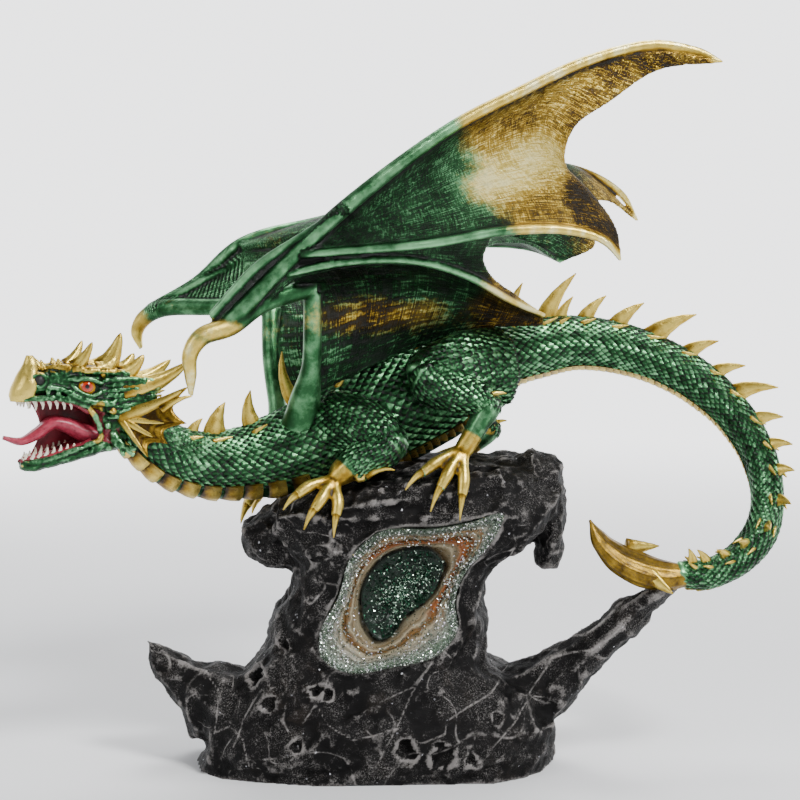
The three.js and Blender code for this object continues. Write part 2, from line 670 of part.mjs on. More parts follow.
// Bones are limb stations [x, y, z, radius, radius]; edges are points on the membrane's border.
const NEAR_WING = {
  lap: 0.53, // how far each membrane panel laps over the one above it
  bones: [
    [[-36, -20, 170, 10, 8], [-34, -25, 181, 8, 6], [-30, -34, 202, 4.6, 4.4], [-29, -44, 236, 4.2, 4]],
    [[-28, -45, 239, 4.6, 4], [-52, -56, 231, 4.6, 4], [-66, -65, 221, 4.8, 4.8], [-79, -70, 216, 4.4, 4.6],
      [-84, -71, 208, 3.8, 4], [-84, -70, 199, 3, 3], [-84, -68, 189, 1.2, 1.2]],
    [[-70, -66, 219, 4.4, 4.4], [-44, -61, 246, 3.6, 3.6], [-15, -56, 274, 3.9, 3.9], [36, -44, 313, 3, 3],
      [70, -37, 331, 2.8, 2.8], [102, -31, 346, 2.6, 2.6], [134, -26, 354, 2.4, 2.4], [156, -23, 351, 2, 2],
      [168, -22, 346, 0.8, 0.8]],
    [[-74, -65, 226, 2.2, 2.2], [-54, -62, 248, 2.2, 2.2], [-30, -58, 264, 2.2, 2.2], [-14, -56, 275, 2, 2]],
  ],
  fingers: [
    [[-32, -60, 254, 1.8, 1.8], [27, -62, 259, 2.2, 2.2], [62, -60, 265, 2.4, 2.4], [92, -57, 265, 2.2, 2.2],
      [108, -54, 260, 1.8, 1.8], [116, -52, 251, 0.8, 0.8]],
    [[-40, -59, 245, 1.8, 1.8], [-9, -58, 251, 2.2, 2.2], [20, -52, 251, 2.2, 2.2], [44, -40, 244, 2, 2],
      [66, -22, 232, 1.8, 1.8], [84, -6, 224, 1.2, 1.2]],
  ],
  panels: [
    { // outer panel with the long tip
      top: [[-15, -56, 274], [36, -44, 313], [70, -37, 331], [102, -31, 346], [134, -26, 354], [168, -22, 346]],
      bottom: [[-32, -60, 254], [27, -62, 259], [62, -60, 265], [92, -57, 265], [108, -54, 260], [116, -52, 251]],
      root: [[-15, -56, 274], [-32, -60, 254]],
      end: [[168, -22, 346], [136, -28, 342], [113, -34, 327], [96, -41, 315], [91, -44, 303], [92, -46, 294],
        [104, -49, 281], [114, -51, 266], [116, -52, 251]],
      columns: 10, rows: 5, dish: 12,
    },
    { // narrow shaded panel
      top: [[-32, -60, 254], [10, -62, 258], [55, -60, 263]],
      bottom: [[-40, -59, 245], [-9, -58, 251], [20, -52, 251], [44, -40, 244], [66, -22, 232], [84, -6, 224]],
      root: [[-32, -60, 254], [-40, -59, 245]],
      end: [[55, -60, 263], [52, -48, 252], [58, -34, 242], [70, -20, 234], [84, -6, 224]],
      columns: 7, rows: 3, dish: 6,
    },
    { // inner panel down to the back
      top: [[-40, -59, 245], [-9, -58, 251], [20, -52, 251], [44, -40, 244], [66, -22, 232], [84, -6, 224]],
      bottom: [[-30, -24, 186], [-8, -14, 196], [20, -8, 208], [52, -2, 217], [84, 0, 219]],
      root: [[-40, -59, 245], [-30, -42, 232], [-28, -32, 206], [-30, -24, 186]],
      end: [[84, -6, 224], [84, 0, 219]],
      columns: 7, rows: 4, dish: 8,
    },
    { // web between the two fore bones
      top: [[-76, -65, 226], [-54, -62, 248], [-30, -58, 264], [-14, -56, 275]],
      bottom: [[-72, -67, 220], [-44, -61, 246], [-15, -56, 275]],
      root: [[-76, -65, 226], [-72, -67, 220]],
      end: [[-14, -56, 275], [-15, -56, 275]],
      columns: 3, rows: 1, dish: 0.5,
    },
    { // web under the fore bone to the elbow
      top: [[-62, -64, 228], [-44, -61, 246], [-15, -56, 275]],
      bottom: [[-60, -60, 224], [-44, -58, 236], [-28, -52, 250]],
      root: [[-62, -64, 228], [-60, -60, 224]],
      end: [[-15, -56, 275], [-28, -52, 250]],
      columns: 3, rows: 2, dish: 0.5,
    },
  ],
};

const FAR_WING = {
  lap: 0.29,
  bones: [
    [[-48, 6, 168, 6, 5], [-50, 12, 180, 4.5, 4.5], [-53, 22, 202, 5, 4.8], [-54, 32, 226, 5, 4.8]],
    [[-54, 33, 228, 5, 4.6], [-84, 38, 227, 4.4, 4.2], [-112, 42, 226, 4.6, 4.6], [-121, 43, 221, 4.2, 4.2],
      [-125, 44, 214, 3.4, 3.4], [-123, 44, 205, 1.2, 1.2]],
    [[-118, 43, 225, 3.6, 3.6], [-94, 48, 240, 3, 3], [-71, 56, 260, 3.4, 3.4], [-24, 80, 274, 3, 3],
      [34, 105, 295, 3, 3], [85, 125, 305, 2.8, 2.8], [118, 139, 301, 2.6, 2.6], [140, 147, 289, 2.2, 2.2],
      [150, 150, 274, 0.9, 0.9]],
    [[-116, 42, 226, 2, 2], [-92, 46, 240, 2, 2], [-68, 52, 250, 2, 2]],
  ],
  fingers: [
    [[-70, 54, 258, 2, 2], [-20, 68, 258, 2.2, 2.2], [40, 86, 260, 2.2, 2.2], [84, 98, 258, 2, 2],
      [102, 102, 250, 0.9, 0.9]],
    [[-66, 44, 240, 2, 2], [-20, 46, 238, 2.2, 2.2], [20, 40, 236, 2, 2], [50, 28, 231, 1.8, 1.8],
      [76, 20, 225, 1.2, 1.2]],
  ],
  panels: [
    { // outer panel
      top: [[-71, 56, 260], [-24, 80, 274], [34, 105, 295], [85, 125, 305], [118, 139, 301], [150, 150, 274]],
      bottom: [[-70, 54, 256], [-20, 68, 258], [40, 86, 260], [84, 98, 258], [102, 102, 250]],
      root: [[-71, 56, 260], [-70, 54, 256]],
      end: [[150, 150, 274], [134, 140, 284], [118, 130, 284], [108, 118, 276], [121, 110, 260], [102, 102, 250]],
      columns: 8, rows: 5, dish: -10,
    },
    { // middle panel
      top: [[-70, 54, 256], [-20, 68, 258], [40, 86, 260], [84, 98, 258], [102, 102, 250]],
      bottom: [[-66, 44, 240], [-20, 46, 238], [20, 40, 236], [50, 28, 231], [76, 20, 225]],
      root: [[-70, 54, 256], [-66, 44, 240]],
      end: [[102, 102, 250], [83, 84, 260], [60, 66, 259], [52, 46, 246], [60, 28, 234], [76, 20, 225]],
      columns: 7, rows: 4, dish: -6,
    },
    { // inner panel down to the back
      top: [[-66, 44, 240], [-20, 46, 238], [20, 40, 236], [50, 28, 231], [76, 20, 225]],
      bottom: [[-44, 12, 182], [-14, 12, 190], [20, 15, 204], [50, 18, 214], [76, 18, 219]],
      root: [[-66, 44, 240], [-56, 34, 226], [-52, 22, 204], [-44, 12, 182]],
      end: [[76, 20, 225], [76, 18, 219]],
      columns: 7, rows: 4, dish: -6,
    },
    { // ribbed web between wrist and joint
      top: [[-122, 43, 224], [-94, 48, 240], [-71, 56, 260]],
      bottom: [[-116, 42, 226], [-88, 40, 227], [-60, 35, 229]],
      root: [[-122, 43, 224], [-116, 42, 226]],
      end: [[-71, 56, 260], [-66, 46, 246], [-60, 35, 229]],
      columns: 4, rows: 3, dish: 0,
    },
  ],
};

function wing({ lap, bones, fingers, panels }, grow) {
  const solids = bones.map((bone) => limb(bone, { ups: [[0, 1, 0.3]], sides: 6, steps: 1, grow }));
  solids.push(...fingers.map((finger) => limb(finger, { ups: [[0, 1, 0.3]], sides: 5, steps: 1, grow })));
  panels.forEach((panel, i) => {
    const sheet = membrane({ ...panel, thick: SHEET - 0.17 * i, grow });
    const shift = lap * i;
    solids.push(sheet.translate([shift, 0, shift]));
    if (!grow) return;
    solids.push(sheet.translate([shift - grow, 0, shift - grow]));
    solids.push(sheet.translate([shift + grow, 0, shift - grow]));
  });
  return join(solids);
}

// ---- assembly -----------------------------------------------------------------------------------

function meshOf(name, solid, material) {
  const pieces = solid.simplify(FINEST).decompose().sort((a, b) => b.volume() - a.volume());
  const { vertProperties, triVerts } = pieces[0].getMesh();
  const geometry = new THREE.BufferGeometry();
  geometry.setAttribute('position', new THREE.BufferAttribute(new Float32Array(vertProperties), 3));
  geometry.setIndex(new THREE.BufferAttribute(new Uint32Array(triVerts), 1));
  geometry.computeVertexNormals();
  const mesh = new THREE.Mesh(geometry, material);
  mesh.name = name;
  return mesh;
}

const charcoal = new THREE.MeshStandardMaterial({ color: 0x2b2725, roughness: 0.75, metalness: 0 });
const glitter = new THREE.MeshStandardMaterial({ color: 0xb9a58a, roughness: 0.35, metalness: 0 });
const dragonGreen = new THREE.MeshStandardMaterial({ color: 0x1f6b45, roughness: 0.4, metalness: 0.6 });
const wingGreen = new THREE.MeshStandardMaterial({ color: 0x4b8a4e, roughness: 0.42, metalness: 0.6 });

const nearWing = wing(NEAR_WING, 0);
const farWing = wing(FAR_WING, 0);
const body = dragonBody().subtract(wing(NEAR_WING, SEAT)).subtract(wing(FAR_WING, SEAT));
const rock = rockBase().subtract(lowerDragon(SEAT)).subtract(geodeSolid({ grow: SEAT, frontLift: 40 }));

const group = new THREE.Group();
group.add(meshOf('rock_base', rock, charcoal));
group.add(meshOf('geode_inset', geodeSolid(), glitter));
group.add(meshOf('dragon_body', body, dragonGreen));
group.add(meshOf('left_wing', nearWing, wingGreen));
group.add(meshOf('right_wing', farWing, wingGreen));

export default group;
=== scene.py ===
"""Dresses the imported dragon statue: painted resin dragon, wings, hewn rock and glitter geode.

Lengths below are millimetres in the row frame; they become metres when a mesh is made.
"""
import itertools
import math

import bpy
import numpy as np
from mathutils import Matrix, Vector
from mathutils.bvhtree import BVHTree
from mathutils.kdtree import KDTree


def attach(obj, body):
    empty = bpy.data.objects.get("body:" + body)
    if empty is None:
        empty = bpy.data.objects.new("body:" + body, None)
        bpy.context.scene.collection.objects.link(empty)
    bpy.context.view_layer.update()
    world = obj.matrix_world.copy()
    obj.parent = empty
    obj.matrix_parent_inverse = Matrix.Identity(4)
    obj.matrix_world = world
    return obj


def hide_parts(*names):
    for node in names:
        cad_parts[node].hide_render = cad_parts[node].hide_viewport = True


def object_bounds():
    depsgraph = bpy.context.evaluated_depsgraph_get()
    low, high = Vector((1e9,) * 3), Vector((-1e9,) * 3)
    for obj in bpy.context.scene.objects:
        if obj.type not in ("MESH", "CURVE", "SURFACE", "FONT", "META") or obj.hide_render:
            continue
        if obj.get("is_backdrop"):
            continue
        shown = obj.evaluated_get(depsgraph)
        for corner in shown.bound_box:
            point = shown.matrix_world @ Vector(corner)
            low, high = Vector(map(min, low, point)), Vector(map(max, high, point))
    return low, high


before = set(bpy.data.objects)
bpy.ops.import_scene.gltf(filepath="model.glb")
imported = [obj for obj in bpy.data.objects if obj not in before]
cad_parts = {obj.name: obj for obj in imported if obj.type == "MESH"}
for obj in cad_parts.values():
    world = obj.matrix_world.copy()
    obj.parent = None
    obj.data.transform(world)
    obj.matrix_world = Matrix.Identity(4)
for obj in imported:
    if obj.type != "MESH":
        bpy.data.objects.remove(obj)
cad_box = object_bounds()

MM = 0.001
# Voxel sizes of the fused skins, in mm.
HEAD_GRAIN, SKIN_GRAIN, WING_GRAIN, ROCK_GRAIN = 0.58, 1.05, 0.99, 1.34
rng = np.random.default_rng(7)


# ---- curves and numbers --------------------------------------------------------------------------

def vec(*v):
    return np.array(v, dtype=float)


def unit(v):
    v = np.asarray(v, dtype=float)
    return v / np.maximum(np.linalg.norm(v, axis=-1, keepdims=True), 1e-9)


def smoothstep(a, b, x):
    t = np.clip((x - a) / (b - a), 0, 1)
    return t * t * (3 - 2 * t)


def centripetal(points, t):
    """Points on the centripetal Catmull-Rom curve through `points`, t from 0 to 1."""
    p = np.asarray(points, dtype=float)
    p = np.vstack([2 * p[0] - p[1], p, 2 * p[-1] - p[-2]])
    x = np.clip(np.asarray(t, dtype=float), 0, 1) * (len(p) - 3)
    i = np.minimum(x.astype(int), len(p) - 4)
    w = (x - i)[:, None]
    p0, p1, p2, p3 = p[i], p[i + 1], p[i + 2], p[i + 3]
    d0, d1, d2 = [np.maximum(np.linalg.norm(b - a, axis=1, keepdims=True), 1e-6) ** 0.5
                  for a, b in ((p0, p1), (p1, p2), (p2, p3))]
    m1 = ((p1 - p0) / d0 - (p2 - p0) / (d0 + d1) + (p2 - p1) / d1) * d1
    m2 = ((p2 - p1) / d1 - (p3 - p1) / (d1 + d2) + (p3 - p2) / d2) * d1
    a = 2 * p1 - 2 * p2 + m1 + m2
    b = -3 * p1 + 3 * p2 - 2 * m1 - m2
    return ((a * w + b) * w + m1) * w + p1


def spread(values, t):
    """A smooth reading of per-station values at t from 0 to 1."""
    v = np.asarray(values, dtype=float)
    flat = v.ndim == 1
    v = v[:, None] if flat else v
    x = np.clip(np.asarray(t, dtype=float), 0, 1) * (len(v) - 1)
    i = np.minimum(x.astype(int), len(v) - 2)
    w = (x - i)[:, None]
    w = w * 0.5 + w * w * (3 - 2 * w) * 0.5
    out = v[i] * (1 - w) + v[i + 1] * w
    return out[:, 0] if flat else out


def lattice(cells, seed):
    """A repeatable random number from 0 to 1 for every whole-number cell."""
    c = cells.astype(np.int64)
    h = (c[..., 0] * 73856093) ^ (c[..., 1] * 19349663) ^ (c[..., 2] * 83492791) ^ (seed * 2654435761)
    h = (h ^ (h >> 13)) * 1274126177
    return ((h ^ (h >> 16)) & 0xFFFFFF) / float(0xFFFFFF)


def noise(points, size, seed=0):
    """Smooth value noise from -1 to 1 with features about `size` mm across."""
    q = points / size
    base = np.floor(q)
    f = q - base
    f = f * f * (3 - 2 * f)
    total = 0.0
    for corner in range(8):
        o = np.array([corner & 1, (corner >> 1) & 1, (corner >> 2) & 1])
        weight = np.prod(np.where(o, f, 1 - f), axis=1)
        total = total + weight * lattice(base + o, seed)
    return total * 2 - 1


def rough(points, size, seed=0, octaves=3):
    return sum(noise(points, size / 2 ** k, seed + k) / 2 ** k for k in range(octaves))


def cells(points, size, seed=0):
    """For each point: the distance to the nearest cell centre in mm, and that cell's key."""
    q = points / size
    base = np.floor(q)
    near = np.full(len(q), 1e9)
    key = np.zeros((len(q), 3))
    for step in itertools.product((-1, 0, 1), repeat=3):
        cell = base + step
        jitter = np.stack([lattice(cell, seed + n) for n in (11, 12, 13)], axis=1)
        d = np.linalg.norm(q - (cell + jitter), axis=1)
        closer = d < near
        near = np.where(closer, d, near)
        key[closer] = cell[closer]
    return near * size, key


# ---- shells --------------------------------------------------------------------------------------

class Shell:
    """Points in millimetres and faces, with a number of named values per point."""

    def __init__(self):
        self.points = []
        self.faces = []
        self.values = {}
        self.count = 0

    def add(self, points, faces, **values):
        points = np.asarray(points, dtype=float)
        self.faces += [tuple(i + self.count for i in face) for face in faces]
        for name in sorted({*self.values, *values}):
            column = self.values.setdefault(name, [np.zeros(self.count)] if self.count else [])
            column.append(np.broadcast_to(values.get(name, 0.0), len(points)).astype(float))
        self.points.append(points)
        self.count += len(points)
        return self

    def object(self, name, smooth=True):
        mesh = bpy.data.meshes.new(name)
        mesh.from_pydata((np.vstack(self.points) * MM).tolist(), [], self.faces)
        mesh.update()
        obj = bpy.data.objects.new(name, mesh)
        bpy.context.collection.objects.link(obj)
        for key, column in self.values.items():
            give(obj, key, np.concatenate(column))
        shade(obj, smooth)
        return obj


def give(obj, key, values):
    """Stores one number per point for the materials."""
    attribute = obj.data.attributes.get(key) or obj.data.attributes.new(key, "FLOAT", "POINT")
    attribute.data.foreach_set("value", np.ascontiguousarray(values, dtype=np.float32))


def shade(obj, smooth=True):
    obj.data.polygons.foreach_set("use_smooth", [smooth] * len(obj.data.polygons))
    obj.data.update()


def read_points(obj):
    out = np.empty(len(obj.data.vertices) * 3, dtype=np.float32)
    obj.data.vertices.foreach_get("co", out)
    return out.reshape(-1, 3).astype(float) / MM


def read_normals(obj):
    out = np.empty(len(obj.data.vertices) * 3, dtype=np.float32)
    obj.data.vertex_normals.foreach_get("vector", out)
    return out.reshape(-1, 3).astype(float)


def write_points(obj, points):
    obj.data.vertices.foreach_set("co", np.ascontiguousarray(points * MM, dtype=np.float32).ravel())
    obj.data.update()


def edges_of(obj):
    out = np.empty(len(obj.data.edges) * 2, dtype=np.int32)
    obj.data.edges.foreach_get("vertices", out)
    return out.reshape(-1, 2)


def neighbour_mean(values, edges, count):
    total = np.zeros((count,) + values.shape[1:])
    np.add.at(total, edges[:, 0], values[edges[:, 1]])
    np.add.at(total, edges[:, 1], values[edges[:, 0]])
    degree = np.bincount(edges.ravel(), minlength=count).astype(float)
    return total / np.maximum(degree, 1).reshape((-1,) + (1,) * (values.ndim - 1))


def relax(obj, rounds):
    """Evens out the steps of a fused mesh; every second round pushes back so that it keeps its size."""
    points = read_points(obj)
    edges = edges_of(obj)
    for k in range(rounds):
        mean = neighbour_mean(points, edges, len(points))
        points += (mean - points) * (-0.52 if k % 2 else 0.5)
    write_points(obj, points)


def fuse(shell, name, grain, rounds):
    """Joins overlapping closed shells into one skin with a voxel remesh, then evens it out."""
    raw = shell.object(name + "_raw") if isinstance(shell, Shell) else shell
    remesh = raw.modifiers.new("fuse", "REMESH")
    remesh.mode = "VOXEL"
    remesh.voxel_size = grain * MM
    graph = bpy.context.evaluated_depsgraph_get()
    mesh = bpy.data.meshes.new_from_object(raw.evaluated_get(graph))
    mesh.name = name
    obj = bpy.data.objects.new(name, mesh)
    bpy.context.collection.objects.link(obj)
    bpy.data.objects.remove(raw)
    relax(obj, rounds)
    shade(obj)
    return obj


def mark_relief(obj, reach):
    """Stores how far each point stands out of (+) or lies below (-) its surroundings, in mm."""
    points = read_points(obj)
    edges = edges_of(obj)
    mean = points
    for _ in range(reach):
        mean = neighbour_mean(mean, edges, len(points))
    out = ((points - mean) * read_normals(obj)).sum(axis=1)
    give(obj, "relief", out)
    return out


def along_curve(points, t):
    """Places on the curve through `points`, and which way it runs there."""
    ahead = centripetal(points, np.minimum(t + 1e-3, 1)) - centripetal(points, np.maximum(t - 1e-3, 0))
    return centripetal(points, t), unit(ahead)


def ring_faces(rings, sides):
    """Faces of a closed tube of rings; its two end points come after the rings."""
    faces = []
    around = [(i, (i + 1) % sides) for i in range(sides)]
    for r in range(rings - 1):
        faces += [(r * sides + i, r * sides + j, (r + 1) * sides + j, (r + 1) * sides + i) for i, j in around]
    last, end = (rings - 1) * sides, rings * sides
    for i, j in around:
        faces += [(end, j, i), (end + 1, last + i, last + j)]
    return faces


def slab_faces(rows, columns, flip=False):
    """Faces of a closed slab: two grids of rows + 1 by columns + 1 points, joined all round."""
    count = (rows + 1) * (columns + 1)

    def at(side, i, j):
        return side * count + i * (columns + 1) + j
    faces = []
    for i, j in itertools.product(range(rows), range(columns)):
        faces.append((at(0, i, j), at(0, i + 1, j), at(0, i + 1, j + 1), at(0, i, j + 1)))
        faces.append((at(1, i, j), at(1, i, j + 1), at(1, i + 1, j + 1), at(1, i + 1, j)))
    rim = ([(0, j) for j in range(columns)] + [(i, columns) for i in range(rows)]
           + [(rows, j) for j in range(columns, 0, -1)] + [(i, 0) for i in range(rows, 0, -1)])
    for here, there in zip(rim, rim[1:] + rim[:1]):
        faces.append((at(0, *here), at(0, *there), at(1, *there), at(1, *here)))
    return [face[:1] + face[:0:-1] for face in faces] if flip else faces


def ring_tube(stations, up=(0, 0, 1), sides=16, steps=8, swell=None):
    """Points, faces, t and angle of a bending closed tube through [x, y, z, half width, half height]."""
    s = np.asarray([list(q) + [q[3]] * (5 - len(q)) for q in stations], dtype=float)
    ups = np.asarray(up, dtype=float)
    ups = np.tile(ups, (len(s), 1)) if ups.ndim == 1 else ups
    t = np.linspace(0, 1, (len(s) - 1) * steps + 1)
    centre, forward = along_curve(s[:, :3], t)
    size = spread(s[:, 3:5], t)
    side = unit(np.cross(forward, spread(ups, t)))
    upward = unit(np.cross(side, forward))
    angle = np.arange(sides) * 2 * math.pi / sides
    grid_t, grid_a = np.meshgrid(t, angle, indexing="ij")
    scale = swell(grid_a, grid_t) if swell else np.ones_like(grid_a)
    points = (centre[:, None] + side[:, None] * (np.cos(grid_a) * size[:, :1] * scale)[..., None]
              + upward[:, None] * (np.sin(grid_a) * size[:, 1:] * scale)[..., None])
    points = np.vstack([points.reshape(-1, 3), centre[:1], centre[-1:]])
    t_all = np.concatenate([grid_t.ravel(), [0, 1]])
    a_all = np.concatenate([grid_a.ravel(), [0, 0]])
    return points, ring_faces(len(t), sides), t_all, a_all


def add_tube(shell, stations, values=None, **options):
    points, faces, _, _ = ring_tube(stations, **options)
    shell.add(points, faces, **(values or {}))


def horn_stations(base, tip, width, bow, bow_to, flat, blunt, points=5):
    base, tip = vec(*base), vec(*tip)
    reach = tip - base
    sag = unit(vec(*bow_to)) * bow * np.linalg.norm(reach)
    out = []
    for t in np.linspace(0, 1, points):
        p = base + reach * t + sag * 4 * t * (1 - t)
        half = width / 2 * ((1 - t) ** 0.8 * (1 - blunt) + blunt * (1 - t * 0.6))
        out.append([*p, max(half * flat, 0.3), max(half, 0.35)])
    return out


def add_horn(shell, base, tip, width, bow=0.0, bow_to=(0, 0, 1), flat=1.0, grooves=0, sides=12, values=None,
             blunt=0.12):
    """A curved thorn, claw or horn, with shallow lengthwise grooves if asked; `relief` grows to its tip."""
    def swell(angle, t):
        rounded = np.sqrt(np.clip(1 - ((t - 0.9) / 0.1).clip(0, 1) ** 2, 0.02, 1)) if blunt > 0.2 else 1
        return rounded * (1 + (0.07 * np.cos(angle * grooves) * (1 - t * 0.6) if grooves else 0))
    stations = horn_stations(base, tip, width, bow, bow_to, flat, blunt)
    points, faces, t, angle = ring_tube(stations, up=bow_to, sides=sides, steps=6, swell=swell)
    values = dict(values or {})
    if "relief" in values:
        groove = np.cos(angle * grooves) * 0.25 if grooves else 0
        values["relief"] += smoothstep(0, 0.35, t) * 0.7 - smoothstep(0.75, 1, t) * 0.25 + groove
    shell.add(points, faces, **values)


# ---- node helpers --------------------------------------------------------------------------------

def material(name):
    mat = bpy.data.materials.new(name)
    mat.use_nodes = True
    tree = mat.node_tree
    tree.nodes.clear()
    out = tree.nodes.new("ShaderNodeOutputMaterial")
    shader = tree.nodes.new("ShaderNodeBsdfPrincipled")
    tree.links.new(shader.outputs[0], out.inputs[0])
    return mat, tree, shader


class Paint:
    """Short calls for the nodes that the materials are made of."""

    def __init__(self, tree):
        self.tree = tree

    def link(self, source, target):
        if isinstance(source, (int, float)):
            target.default_value = source
        elif isinstance(source, tuple):
            target.default_value = (*source, 1.0)[:len(target.default_value)]
        else:
            self.tree.links.new(source, target)

    def value(self, name):
        node = self.tree.nodes.new("ShaderNodeAttribute")
        node.attribute_name = name
        return node.outputs["Fac"]

    def place(self):
        return self.tree.nodes.new("ShaderNodeTexCoord").outputs["Object"]

    def noise(self, size, detail=4.0, roughness=0.55):
        """Noise from 0 to 1 with features about `size` mm across."""
        node = self.tree.nodes.new("ShaderNodeTexNoise")
        node.inputs["Scale"].default_value = 1000.0 / size
        node.inputs["Detail"].default_value = detail
        node.inputs["Roughness"].default_value = roughness
        self.tree.links.new(self.place(), node.inputs["Vector"])
        return node.outputs["Fac"]

    def voronoi(self, size, output="Distance"):
        node = self.tree.nodes.new("ShaderNodeTexVoronoi")
        node.inputs["Scale"].default_value = 1000.0 / size
        self.tree.links.new(self.place(), node.inputs["Vector"])
        return node.outputs[output]

    def ramp(self, source, *stops):
        """Maps a number to colours or numbers: stops are (place, value)."""
        node = self.tree.nodes.new("ShaderNodeValToRGB")
        elements = node.color_ramp.elements
        while len(elements) < len(stops):
            elements.new(0.5)
        for element, (place, value) in zip(elements, stops):
            element.position = place
            element.color = (*value, 1) if isinstance(value, tuple) else (value, value, value, 1)
        self.link(source, node.inputs["Fac"])
        return node.outputs["Color"]

    def span(self, source, low, high, to_low=0.0, to_high=1.0):
        node = self.tree.nodes.new("ShaderNodeMapRange")
        self.link(source, node.inputs["Value"])
        for key, number in zip(("From Min", "From Max", "To Min", "To Max"), (low, high, to_low, to_high)):
            node.inputs[key].default_value = number
        return node.outputs["Result"]

    def sum(self, a, b, operation="ADD", clamp=False):
        node = self.tree.nodes.new("ShaderNodeMath")
        node.operation = operation
        node.use_clamp = clamp
        self.link(a, node.inputs[0])
        self.link(b, node.inputs[1])
        return node.outputs[0]

    def times(self, a, b):
        return self.sum(a, b, "MULTIPLY")

    def sway(self, source, amount):
        """A 0 to 1 source, centred on 0 and scaled."""
        return self.times(self.sum(source, -0.5), amount)

    def rest(self, share):
        return self.sum(1.0, share, "SUBTRACT")

    def vector(self, operation, *sources):
        node = self.tree.nodes.new("ShaderNodeVectorMath")
        node.operation = operation
        for k, source in enumerate(sources):
            self.link(source, node.inputs[k])
        return node.outputs["Value" if operation == "LENGTH" else "Vector"]

    def blend(self, share, a, b, mode="MIX"):
        node = self.tree.nodes.new("ShaderNodeMix")
        node.data_type = "RGBA"
        node.blend_type = mode
        self.link(share, node.inputs["Factor"])
        self.link(a, node.inputs[6])
        self.link(b, node.inputs[7])
        return node.outputs[2]

    def bump(self, height, strength, distance):
        node = self.tree.nodes.new("ShaderNodeBump")
        node.inputs["Strength"].default_value = strength
        node.inputs["Distance"].default_value = distance * MM
        self.link(height, node.inputs["Height"])
        return node.outputs["Normal"]


GREEN_DEEP = (0.006, 0.022, 0.008)
GREEN_MID = (0.022, 0.095, 0.032)
GREEN_MINT = (0.20, 0.47, 0.23)
GOLD_DEEP = (0.060, 0.030, 0.003)
GOLD_MID = (0.33, 0.20, 0.018)
GOLD_PALE = (0.74, 0.56, 0.12)
WASH = (0.002, 0.003, 0.002)


def metallic_paint(name, relief_low, relief_high, bump=0.35, mouth=False):
    """Pearly green that turns gold where `gold` says, dark in hollows and pale on what stands out."""
    mat, tree, shader = material(name)
    p = Paint(tree)
    relief = p.span(p.value("relief"), relief_low, relief_high)
    mottled = p.noise(5, 5, 0.65)
    grain = p.noise(1.1, 4, 0.7)
    lift = p.sum(relief, p.sway(mottled, 0.9))
    lift = p.sum(lift, p.times(p.value("shade"), 0.5), clamp=True)
    green = p.ramp(lift, (0.0, WASH), (0.3, GREEN_DEEP), (0.62, GREEN_MID), (1.0, GREEN_MINT))
    gold = p.ramp(lift, (0.0, (0.02, 0.014, 0.006)), (0.25, GOLD_DEEP), (0.55, GOLD_MID), (0.95, GOLD_PALE))
    edge = p.sum(p.value("gold"), p.sway(grain, 0.5))
    colour = p.blend(p.span(edge, 0.38, 0.62), green, gold)
    dark = p.ramp(p.sum(relief, p.sway(grain, 0.9)), (0.14, 1.0), (0.4, 0.0))
    dark = p.times(dark, p.span(p.value("wash"), 0.0, 1.0, 0.8, 1.0))
    colour = p.blend(dark, colour, WASH)
    metal = p.span(dark, 0.0, 1.0, 0.86, 0.0)
    if mouth:
        share = p.value("mouth")
        red = p.ramp(mottled, (0.3, (0.08, 0.005, 0.01)), (0.7, (0.24, 0.02, 0.035)))
        colour = p.blend(share, colour, red)
        metal = p.times(metal, p.rest(share))
    p.link(colour, shader.inputs["Base Color"])
    p.link(metal, shader.inputs["Metallic"])
    p.link(p.sum(p.span(grain, 0.3, 0.7, 0.24, 0.4), p.times(dark, 0.25)), shader.inputs["Roughness"])
    height = p.sum(p.times(grain, 0.5), p.times(p.noise(0.5, 3, 0.6), 0.4))
    p.link(p.bump(height, bump, 0.35), shader.inputs["Normal"])
    return mat


def wing_lines(p, rate_u, rate_v, seed, wander):
    """Streaks laid out in the wing's own u and v; the two rates are streaks for each millimetre."""
    combine = p.tree.nodes.new("ShaderNodeCombineXYZ")
    p.link(p.times(p.value("u"), rate_u), combine.inputs[0])
    p.link(p.times(p.value("v"), rate_v), combine.inputs[1])
    combine.inputs[2].default_value = seed
    node = p.tree.nodes.new("ShaderNodeTexNoise")
    node.inputs["Scale"].default_value = 1.0
    node.inputs["Detail"].default_value = 3.0
    node.inputs["Roughness"].default_value = 0.6
    node.inputs["Distortion"].default_value = wander
    p.tree.links.new(combine.outputs[0], node.inputs["Vector"])
    return node.outputs["Fac"]


